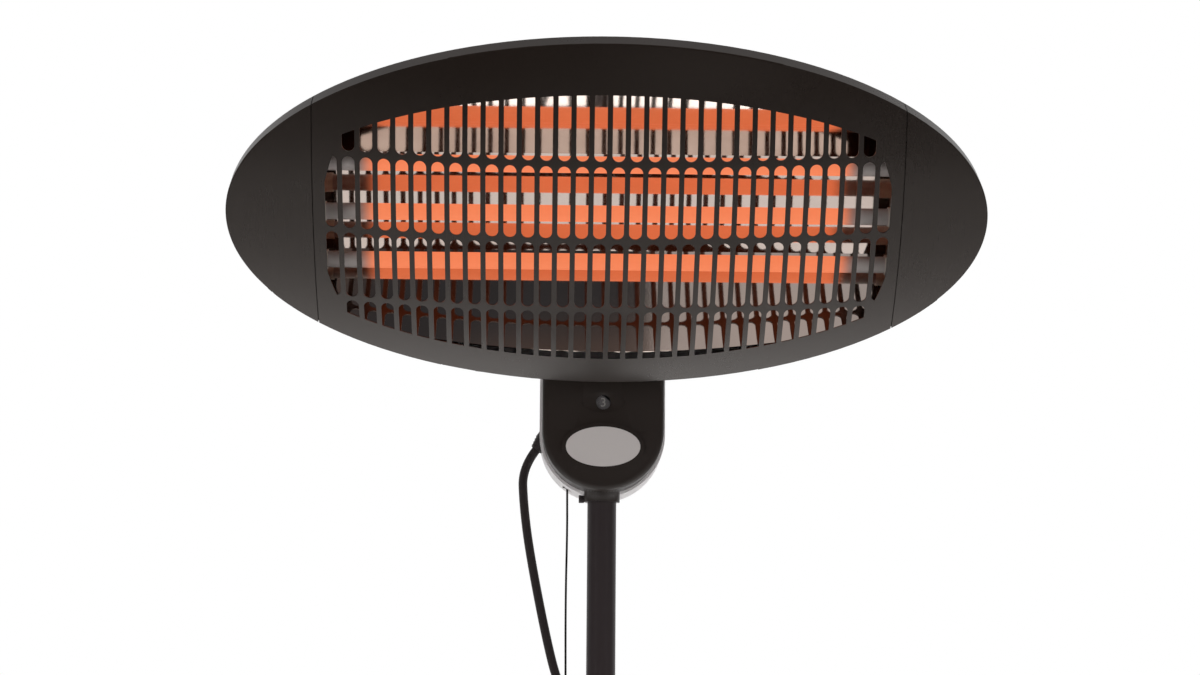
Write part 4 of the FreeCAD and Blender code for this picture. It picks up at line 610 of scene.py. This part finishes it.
@dataclass
class Carried:
    """A CAD node carried over as a merged copy with smooth faces and sharp edges."""

    node: str
    sharp: float = 32.0
    normal_at: Callable[[Vector, Vector], Vector | None] | None = None
    recess: Vector | None = None
    soften: Callable[[Vector], bool] | None = None
    cross_length: float = 1.2
    cross_width: float = 0.32
    cross_depth: float = 0.3

    def build(self) -> bpy.types.Object:
        """Make the smooth copy.

        Returns:
            The piece that stands for the node.
        """
        mesh = frame["nodes"][self.node].data.copy()
        mesh.name = self.node + "_smooth"
        work = bmesh.new()
        work.from_mesh(mesh)
        bmesh.ops.remove_doubles(work, verts=work.verts, dist=WELD)
        if self.soften is not None:
            self._round_edge(work)
        work.to_mesh(mesh)
        work.free()
        if self.recess is not None:
            mesh = self._cross_recesses(mesh, self.recess)
        mesh.shade_smooth()
        mesh.set_sharp_from_angle(angle=math.radians(self.sharp))
        mesh = self._weigh_normals(mesh) if self.normal_at is None else self._bend_normals(mesh)
        piece = bpy.data.objects.new(self.node + "_skin", mesh)
        return settle(piece, NODE_BODY[self.node], NODE_SLOT[self.node], [self.node])

    def _round_edge(self, work: bmesh.types.BMesh) -> None:
        """Break the sharp edge whose ends the piece names."""
        edges = [edge for edge in work.edges if len(edge.link_faces) == 2
                 and edge.calc_face_angle() > EDGE_ANGLE
                 and all(self.soften(corner.co) for corner in edge.verts)]
        bmesh.ops.bevel(work, geom=edges, offset=EDGE_BREAK, segments=2, profile=0.5, affect="EDGES")

    def _cross_recesses(self, mesh: bpy.types.Mesh, way: Vector) -> bpy.types.Mesh:
        """Cut a cross into each screw head of the mesh.

        Args:
            mesh: the screws.
            way: direction that the heads face.

        Returns:
            The cut mesh.
        """
        tops = head_tops(mesh, way)
        pattern = Pattern(self.node + "_cross")
        length, width, depth = (pattern.size(name) for name in ("Length", "Width", "Depth"))
        bars = [pattern.node("GeometryNodeMeshCube", Size=pattern.node(
            "ShaderNodeCombineXYZ", X=across, Y=up, Z=depth * 2).outputs[0]).outputs[0]
            for across, up in ((length, width), (width, length))]
        cross = pattern.node("GeometryNodeMeshBoolean", {"operation": "UNION", "solver": "EXACT"},
                             Mesh_2=bars)
        facing = tuple(way.to_track_quat("Z", "X").to_euler())
        spots = pattern.node("GeometryNodeInstanceOnPoints", Points=pattern.entry.outputs["Geometry"],
                             Instance=cross.outputs[0], Rotation=facing)
        pattern.close(spots.outputs[0], NODE_SLOT[self.node])
        seed = bpy.data.meshes.new(self.node + "_tops")
        seed.from_pydata([spot for spot, _ in tops], [], [])
        span = min(radius for _, radius in tops)
        sizes = {"Length": span * self.cross_length, "Width": span * self.cross_width,
                 "Depth": span * self.cross_depth}
        cutter = bpy.data.objects.new("cutter", pattern.grow(self.node + "_crosses", sizes, seed))
        holder = bpy.data.objects.new("carving", mesh)
        for item in (cutter, holder):
            bpy.context.scene.collection.objects.link(item)
        carve = holder.modifiers.new("carve", "BOOLEAN")
        carve.operation = "DIFFERENCE"
        carve.solver = "EXACT"
        carve.object = cutter
        shaped = plain_mesh(holder, self.node + "_carved")
        for item in (cutter, holder):
            bpy.data.objects.remove(item)
        return shaped

    def _weigh_normals(self, mesh: bpy.types.Mesh) -> bpy.types.Mesh:
        """Let large faces keep their own normal beside a rounded edge."""
        holder = bpy.data.objects.new("weighing", mesh)
        bpy.context.scene.collection.objects.link(holder)
        weigh = holder.modifiers.new("weigh", "WEIGHTED_NORMAL")
        weigh.keep_sharp = True
        weigh.weight = 90
        shaped = plain_mesh(holder, self.node + "_weighed")
        bpy.data.objects.remove(holder)
        return shaped

    def _bend_normals(self, mesh: bpy.types.Mesh) -> bpy.types.Mesh:
        """Give corners on the formed surface that surface's own normal."""
        mesh.update()
        corners = [Vector(corner.vector) for corner in mesh.corner_normals]
        for face in mesh.polygons:
            for index in face.loop_indices:
                point = mesh.vertices[mesh.loops[index].vertex_index].co
                bent = self.normal_at(point, face.normal)
                if bent is not None:
                    corners[index] = bent
        mesh.normals_split_custom_set(corners)
        return mesh


@dataclass
class HeadForm:
    """Shape of the crowned oval face, in the head's own tilted place."""

    width: float = 500 * MM
    height: float = 240 * MM
    rise: float = 32 * MM
    tilt: float = 35.0
    hinge_back: float = 60 * MM
    hinge_drop: float = 128 * MM

    def __post_init__(self) -> None:
        """Work out the radii and the head's place."""
        self.across = ((self.width / 2) ** 2 + self.rise ** 2) / (2 * self.rise)
        self.up = ((self.height / 2) ** 2 + self.rise ** 2) / (2 * self.rise)
        turn = Matrix.Rotation(math.radians(self.tilt), 4, "X")
        hinge = Vector((0.0, self.hinge_back, -self.hinge_drop))
        self.place = Matrix.Translation(Vector((0.0, 0.0, HINGE_HEIGHT)) - turn @ hinge) @ turn
        self.back = self.place.inverted()

    def on_rim(self, point: Vector) -> bool:
        """Say whether a point lies on the outer edge where the face meets its band."""
        local = self.back @ point
        spread = (2 * local.x / self.width) ** 2 + (2 * local.z / self.height) ** 2
        return abs(local.y) < 0.3 * MM and abs(spread - 1.0) < 0.01

    def normal(self, point: Vector, face: Vector) -> Vector | None:
        """Give the crowned face's normal at a point, where the mesh face follows it.

        Args:
            point: a point of the mesh.
            face: the mesh face's normal.

        Returns:
            The normal, or None off the crowned face.
        """
        local = self.back @ point
        flat = Vector((local.x, local.y - (self.across - self.rise), 0.0))
        ring = flat.normalized() * (self.across - self.up)
        dome = Vector((flat.x - ring.x, flat.y - ring.y, local.z)).normalized()
        band = Vector((local.x / self.width ** 2, 0.0, local.z / self.height ** 2)).normalized()
        side = (self.back.to_3x3() @ face).normalized()
        for guess in (dome, band):
            lean = side.dot(guess)
            if abs(lean) > 0.985:
                return (self.place.to_3x3() @ guess * math.copysign(1.0, lean)).normalized()
        return None


@dataclass
class Head:
    """Oval head: face panels, reflector, tubes and casing."""

    form: HeadForm
    coil: float = 6 * MM
    wire: float = 0.9 * MM
    pitch: float = 2.2 * MM
    winding: float = 314 * MM
    lead: float = 1.5 * MM
    crimp: float = 3 * MM
    turn_steps: int = 14
    wire_sides: int = 6
    lead_sides: int = 12
    crimp_sides: int = 20
    sharp: float = 50.0

    def build(self) -> None:
        """Make the head's pieces."""
        for node in ("grille_panel", "left_end_cap", "right_end_cap"):
            Carried(node, 24.0, self.form.normal, soften=self.form.on_rim).build()
        Carried("reflector", 8.0).build()
        for node in ("rear_casing", "reflector_standoffs", "left_tube_bracket", "right_tube_bracket",
                     "quartz_tube_top", "quartz_tube_middle", "quartz_tube_bottom", "tube_end_ceramics",
                     "terminal_strips", "tilt_bracket", "tilt_bolt", "tilt_knob"):
            Carried(node).build()
        Carried("head_screws", recess=self.form.place.to_3x3() @ BACKWARDS).build()
        self._windings()

    def _windings(self) -> None:
        """Wind the glowing wire of each tube between two crimped end wires."""
        pattern = Pattern("tube_winding")
        coil, wire, length, pitch = (pattern.size(name) for name in ("Coil", "Wire", "Length", "Pitch"))
        lead, reach, crimp = (pattern.size(name) for name in ("Lead", "Reach", "Crimp"))
        radius = (coil - wire) / 2
        straight = (0.0, 0.0, 0.0)
        path = pattern.node("GeometryNodeCurveSpiral", Resolution=self.turn_steps, Rotations=length / pitch,
                            Start_Radius=radius, End_Radius=radius, Height=length).outputs[0]
        turns = pattern.move(pattern.wire(path, wire, self.wire_sides), straight, length * -0.5)
        rod = pattern.rod(lead, reach - length / 2, self.lead_sides)
        stub = pattern.move(rod, straight, reach / 2 + length / 4)
        clamp = pattern.move(pattern.rod(coil, crimp, self.crimp_sides), straight, length / 2)
        end = pattern.join(stub, clamp)
        whole = pattern.join(turns, end, pattern.move(end, (0.0, 180.0, 0.0)))
        pattern.close(pattern.move(whole, (0.0, 90.0, 0.0)), "glowing_wire")
        for place in ("top", "middle", "bottom"):
            node = "heating_element_" + place
            low, high = (Vector(corner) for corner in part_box(node))
            mesh = pattern.grow(node + "_turns", {
                "Coil": self.coil, "Wire": self.wire, "Length": self.winding, "Pitch": self.pitch,
                "Lead": self.lead, "Reach": (high.x - low.x) / 2, "Crimp": self.crimp})
            mesh.transform(Matrix.Translation((low + high) / 2))
            mesh.shade_smooth()
            mesh.set_sharp_from_angle(angle=math.radians(self.sharp))
            piece = bpy.data.objects.new(node + "_winding", mesh)
            settle(piece, Body.HEAD.value, NODE_SLOT[node], [node])


@dataclass
class Neck:
    """Switch box under the head, with its dial, window and oval plate."""

    dial_across: float = -13 * MM
    dial_drop: float = 50.8 * MM
    dial_face: float = -24.8 * MM
    number_circle: float = 18.4 * MM
    number_size: float = 8.64 * MM
    number_thick: float = 0.05 * MM
    number_lift: float = 0.06 * MM
    window_drop: float = 37.8 * MM

    def build(self) -> None:
        """Make the box's pieces."""
        for node in ("neck_core", "neck_front_cover", "neck_rear_shell", "label_plate", "window_lens",
                     "indicator_disc", "pull_switch", "switch_lever", "terminal_block", "tip_over_switch",
                     "cord_eyelet", "cable_gland", "cable_inlet", "collar_screw", "pull_toggle"):
            Carried(node).build()
        Carried("neck_screws", recess=BACKWARDS).build()
        self._numbers()

    def _numbers(self) -> None:
        """Print the switch positions on the dial, the highest one under the window."""
        towards = math.atan2(self.dial_drop - self.window_drop, -self.dial_across)
        for index, number in enumerate("3210"):
            curve = bpy.data.curves.new("dial_number_" + number, "FONT")
            curve.body = number
            curve.size = self.number_size
            curve.align_x = "CENTER"
            curve.align_y = "CENTER"
            curve.extrude = self.number_thick
            holder = bpy.data.objects.new("number_outline", curve)
            mesh = bpy.data.meshes.new_from_object(holder)
            bpy.data.objects.remove(holder)
            quarter = index * math.pi / 2
            angle = towards + quarter
            spot = Vector((self.dial_across + self.number_circle * math.cos(angle),
                           self.dial_face - self.number_lift,
                           HINGE_HEIGHT - self.dial_drop + self.number_circle * math.sin(angle)))
            spin = Matrix.Rotation(quarter, 4, "Z")
            mesh.transform(Matrix.Translation(spot) @ Matrix.Rotation(math.pi / 2, 4, "X") @ spin)
            piece = bpy.data.objects.new("dial_number_" + number, mesh)
            settle(piece, Body.INDICATOR.value, "pale_plastic")


@dataclass
class Stand:
    """Poles, clamp and base."""

    def build(self) -> None:
        """Make the stand's pieces."""
        for node in ("upper_pole", "guide_ring", "lower_pole", "middle_pole", "pole_coupling", "pole_bush",
                     "height_clamp", "clamp_knob", "base_cover", "base_weight", "base_plate", "pole_flange",
                     "base_bolts", "rubber_feet", "cable_outlet", "coil_tie", "plug_body", "plug_pins"):
            Carried(node).build()


@dataclass
class Lead:
    """Mains lead outside the tubes and the pull cord, as smooth curves."""

    diameter: float = 6.3 * MM
    coil_outer: float = 46 * MM
    coil_step: float = 7 * MM
    coil_back: float = 128 * MM
    coil_turns: int = 3
    coil_level: float = 33.8 * MM
    string_diameter: float = 1.5 * MM
    boot_tip: float = 8.2 * MM
    rib: float = 0.9 * MM
    rib_count: float = 4.0
    rib_sides: int = 8
    ring_steps: int = 32

    def build(self) -> None:
        """Make the cords."""
        self._ribs()
        self._upper()
        self._lower()
        self._string()

    def _curve(self, name: str, points: Sequence[Vector], diameter: float) -> bpy.types.Object:
        """Make a round cord on a smooth curve.

        Args:
            name: the piece's name.
            points: the route's points.
            diameter: the cord's thickness.

        Returns:
            The curve object.
        """
        curve = bpy.data.curves.new(name, "CURVE")
        curve.dimensions = "3D"
        curve.bevel_depth = diameter / 2
        curve.bevel_resolution = 5
        curve.use_fill_caps = True
        spline = curve.splines.new("NURBS")
        spline.points.add(len(points) - 1)
        for slot, point in zip(spline.points, points):
            slot.co = (*point, 1.0)
        spline.order_u = 3
        spline.use_endpoint_u = True
        spline.resolution_u = 12
        return bpy.data.objects.new(name, curve)

    def _ribs(self) -> None:
        """Ring the tapered end of each cable boot."""
        pattern = Pattern("boot_ribs")
        thick, thin, taper = (pattern.size(name) for name in ("Thick", "Thin", "Taper"))
        rib, count = (pattern.size(name) for name in ("Rib", "Count"))
        step = taper / count
        line = pattern.node("GeometryNodeMeshLine", Count=count, Start_Location=pattern.along(step / 2),
                            Offset=pattern.along(step))
        circle = pattern.node("GeometryNodeCurvePrimitiveCircle", Resolution=self.ring_steps,
                              Radius=thick / 2)
        order = Value(pattern.tree, pattern.node("GeometryNodeInputIndex").outputs[0])
        shrink = 1 - (order + 0.5) / count * (1 - thin / thick)
        scale = pattern.node("ShaderNodeCombineXYZ", X=shrink, Y=shrink, Z=shrink)
        rings = pattern.node("GeometryNodeInstanceOnPoints", Points=line.outputs[0],
                             Instance=pattern.wire(circle.outputs[0], rib, self.rib_sides),
                             Scale=scale.outputs[0])
        pattern.close(rings.outputs[0], "black_rubber")
        up = HINGE_HEIGHT / MM
        for node, tip, way, thick_end, length in (
                ("cable_gland", (-46.0, 15.0, up - 66.0), (-0.6, 0.0, -0.8), 12.0, 9.0),
                ("cable_inlet", (-17.05, 2.52, up - 255.8), (-0.425, 0.124, 0.897), 10.0, 10.0),
                ("cable_outlet", (0.0, 23.0, 92.0), (0.0, 0.8, -0.6), 10.0, 10.0)):
            mesh = pattern.grow(node + "_rings", {
                "Thick": thick_end * MM, "Thin": self.boot_tip, "Taper": length * MM,
                "Rib": self.rib, "Count": self.rib_count})
            facing = Vector(way).normalized()
            start = Vector(tip) * MM - facing * length * MM
            mesh.transform(Matrix.Translation(start) @ facing.to_track_quat("Z", "X").to_matrix().to_4x4())
            mesh.shade_smooth()
            settle(bpy.data.objects.new(node + "_ribs", mesh), NODE_BODY[node], "black_rubber")

    def _upper(self) -> None:
        """Make the stretch from the box back into the pole."""
        route = [(-46.0, 15.0, -66.0), (-55.6, 15.0, -78.8), (-54.4, 14.5, -104.0), (-50.0, 12.5, -137.0),
                 (-38.0, 9.0, -196.0), (-28.94, 5.99, -230.69), (-17.05, 2.52, -255.8)]
        points = [Vector((x, y, z)) * MM + Vector((0.0, 0.0, HINGE_HEIGHT)) for x, y, z in route]
        piece = self._curve("power_lead", points, self.diameter)
        settle(piece, Body.UPPER.value, "black_rubber", ["power_cable"])

    def _coil(self) -> list[Vector]:
        """Lay the spare lead in two layers, in below and out above.

        Returns:
            Points along the coil.
        """
        layer = self.coil_turns * 2 * math.pi
        last = 2 * layer + math.pi
        rate = self.coil_step / (2 * math.pi)
        per_turn = 24
        pulled_in = 0.75 + 0.25 * math.cos(2 * math.pi / per_turn)
        steps = round(last / (2 * math.pi) * per_turn)
        points = []
        for index in range(1, steps):
            angle = last * index / steps
            radius = (self.coil_outer - rate * min(angle, last - angle)) / pulled_in
            climb = min(max(angle - layer, 0.0), math.pi)
            height = self.coil_level + self.coil_step * (1 - math.cos(climb)) / 2
            bearing = math.pi - angle
            points.append(Vector((radius * math.cos(bearing),
                                  self.coil_back + radius * math.sin(bearing), height)))
        return points

    def _lower(self) -> None:
        """Make the stretch from the foot of the pole through the coil to the plug."""
        low = self.coil_level
        high = low + self.coil_step
        out = self.coil_outer
        behind = self.coil_back - self.diameter
        start = [Vector(point) * MM for point in ((0, 23, 92), (0, 40.6, 78.8), (-16, 60, 48))]
        start += [Vector((-36 * MM, 82 * MM, low)), Vector((-out, 102 * MM, low)),
                  Vector((-out, behind, low))]
        end = [Vector((out, behind, high)), Vector((out, 100 * MM, high)), Vector((53 * MM, 76 * MM, high)),
               Vector((68.6 * MM, 57.76 * MM, high))]
        piece = self._curve("mains_lead", start + self._coil() + end, self.diameter)
        settle(piece, Body.BASE.value, "black_rubber", ["cable_lower_run", "cable_coil", "cable_plug_run"])

    def _string(self) -> None:
        """Make the pull cord down to its toggle."""
        top = HINGE_HEIGHT - 61.9 * MM
        bottom = HINGE_HEIGHT - 559.1 * MM
        sway = (0.0, 0.0, 0.35, -0.45, 0.3, -0.2, 0.0)
        levels = (0.0, 0.065, 0.12, 0.22, 0.36, 0.62, 1.0)
        points = [Vector((-24 * MM + shift * MM, 20.5 * MM, top + (bottom - top) * level))
                  for shift, level in zip(sway, levels)]
        piece = self._curve("pull_string", points, self.string_diameter)
        settle(piece, Body.PULL.value, "pull_string", ["pull_cord"])


@dataclass(frozen=True)
class SoftBox:
    """A rectangular lamp that the camera doesn't see."""

    name: str
    spot: Sequence[float]
    aim: Sequence[float]
    wide: float
    tall: float
    power: float
    mirrored: bool = False

    def hang(self) -> None:
        """Put the lamp in its place, facing its aim."""
        lamp = bpy.data.lights.new(self.name, "AREA")
        lamp.shape = "RECTANGLE"
        lamp.size = self.wide
        lamp.size_y = self.tall
        lamp.energy = self.power
        holder = bpy.data.objects.new(self.name, lamp)
        way = Vector(self.aim) - Vector(self.spot)
        turn = way.to_track_quat("-Z", "Y").to_matrix().to_4x4()
        holder.matrix_world = Matrix.Translation(Vector(self.spot)) @ turn
        holder.visible_camera = False
        holder.visible_glossy = self.mirrored
        bpy.context.scene.collection.objects.link(holder)


SOFT_BOXES = (
    SoftBox("top_box", (0.0, -0.6, 4.2), (0.0, 0.0, 1.5), 2.6, 2.6, 55.0),
    SoftBox("left_box", (-2.3, -2.3, 1.75), (0.0, 0.0, 1.6), 0.7, 2.2, 27.0),
    SoftBox("right_box", (2.3, -2.3, 1.75), (0.0, 0.0, 1.6), 0.7, 2.2, 25.0),
    SoftBox("back_card", (0.75, -4.2, 1.75), (0.1, 0.0, 1.68), 1.1, 1.4, 1.6, mirrored=True),
    SoftBox("floor_box", (0.0, 0.75, 1.05), (0.0, 0.75, 0.0), 4.0, 1.3, 56.0),
)


@dataclass
class Studio:
    """Camera, floor, white surroundings and soft lights."""

    lens: float = 73.2
    reach: float = 1600 * MM
    lift: float = 78 * MM
    pitch: float = 9.54
    yaw: float = 1.2
    roll: float = 0.4
    pan: float = 0.07
    room_cool: Colour = (0.030, 0.032, 0.036)
    room_warm: Colour = (0.115, 0.085, 0.075)
    room_back: Colour = (0.83, 0.83, 0.83)
    head_back: float = -122.6 * MM
    head_height: float = 1750.4 * MM
    floor_half: float = 9.0
    floor_shade: Colour = (0.80, 0.80, 0.80)
    floor_pale: Colour = (0.84, 0.84, 0.84)
    floor_seen: Colour = (0.90, 0.90, 0.90)
    floor_share: float = 0.6

    def build(self) -> None:
        """Make the studio."""
        self._camera()
        self._floor()
        self._world()
        self._lights()
        bpy.context.scene.view_settings.view_transform = "Standard"

    def _camera(self) -> None:
        """Put the camera where the photograph was taken from."""
        pitch = math.radians(self.pitch)
        yaw = math.radians(self.yaw)
        ahead = Vector((0.0, math.cos(pitch), math.sin(pitch)))
        above = Vector((0.0, -math.sin(pitch), math.cos(pitch)))
        spot = Vector((0.0, self.head_back, self.head_height)) - ahead * self.reach - above * self.lift
        swing = Matrix.Rotation(-yaw, 4, "Z")
        camera = bpy.data.cameras.new("camera")
        camera.lens = self.lens
        camera.sensor_width = 36.0
        camera.clip_end = 60.0
        holder = bpy.data.objects.new("camera", camera)
        look = Matrix.Rotation(math.radians(self.pan), 3, "Z") @ swing.to_3x3() @ ahead
        turn = look.to_track_quat("-Z", "Y").to_matrix().to_4x4()
        lean = Matrix.Rotation(math.radians(self.roll), 4, "Z")
        holder.matrix_world = Matrix.Translation(swing @ spot) @ turn @ lean
        bpy.context.scene.collection.objects.link(holder)
        bpy.context.scene.camera = holder

    def _floor(self) -> None:
        """Lay a plain pale floor."""
        mesh = bpy.data.meshes.new("studio_floor")
        half = self.floor_half
        corners = [(-half, -half, 0), (half, -half, 0), (half, half, 0), (-half, half, 0)]
        mesh.from_pydata(corners, [], [(0, 1, 2, 3)])
        floor = bpy.data.objects.new("studio_floor", mesh)
        bpy.context.scene.collection.objects.link(floor)
        shader = Shader("pale_floor")
        cloud = shader.noise(shader.place(), 3.0, 2.0)
        shader.set(Base_Color=shader.blend(cloud, self.floor_shade, self.floor_pale),
                   Roughness=cloud * 0.1 + 0.7)
        pale = shader.node("ShaderNodeEmission", Color=(*self.floor_seen, 1.0))
        seen = Value(shader.tree, shader.node("ShaderNodeLightPath").outputs["Is Camera Ray"])
        seen = seen * self.floor_share
        mix = shader.node("ShaderNodeMixShader", Fac=seen)
        shader.feed(mix.inputs[1], shader.surface.outputs[0])
        shader.feed(mix.inputs[2], pale.outputs[0])
        shader.feed(shader.tree.nodes["Material Output"].inputs["Surface"], mix.outputs[0])
        mesh.materials.append(shader.material)

    def _world(self) -> None:
        """Surround the heater with white, dimmer towards the camera's side."""
        world = bpy.data.worlds.new("studio")
        bpy.context.scene.world = world
        world.use_nodes = True
        sky = Tree(world.node_tree)
        where = sky.node("ShaderNodeTexCoord").outputs["Generated"]
        room = sky.blend(sky.noise(where, 9.0, 1.0).ramp(0.4, 0.6), self.room_cool, self.room_warm)
        behind = sky.axis(where, "Y").ramp(-0.35, 0.6) * (1 - 0.75 * sky.axis(where, "Z").ramp(0.25, 0.8))
        soft = sky.node("ShaderNodeBackground", Color=sky.blend(behind, room, self.room_back))
        white = sky.node("ShaderNodeBackground", Color=(1.0, 1.0, 1.0, 1.0))
        mix = sky.node("ShaderNodeMixShader", Fac=sky.node("ShaderNodeLightPath").outputs["Is Camera Ray"])
        sky.feed(mix.inputs[1], soft.outputs[0])
        sky.feed(mix.inputs[2], white.outputs[0])
        sky.feed(sky.tree.nodes["World Output"].inputs["Surface"], mix.outputs[0])

    def _lights(self) -> None:
        """Hang the soft boxes."""
        for box in SOFT_BOXES:
            box.hang()


def main() -> None:
    """Build the studio and the heater."""
    logging.basicConfig(level=logging.INFO, format="%(name)s: %(message)s")
    Studio().build()
    Head(HeadForm()).build()
    Neck().build()
    Stand().build()
    Lead().build()


if __name__ == "__main__":
    main()
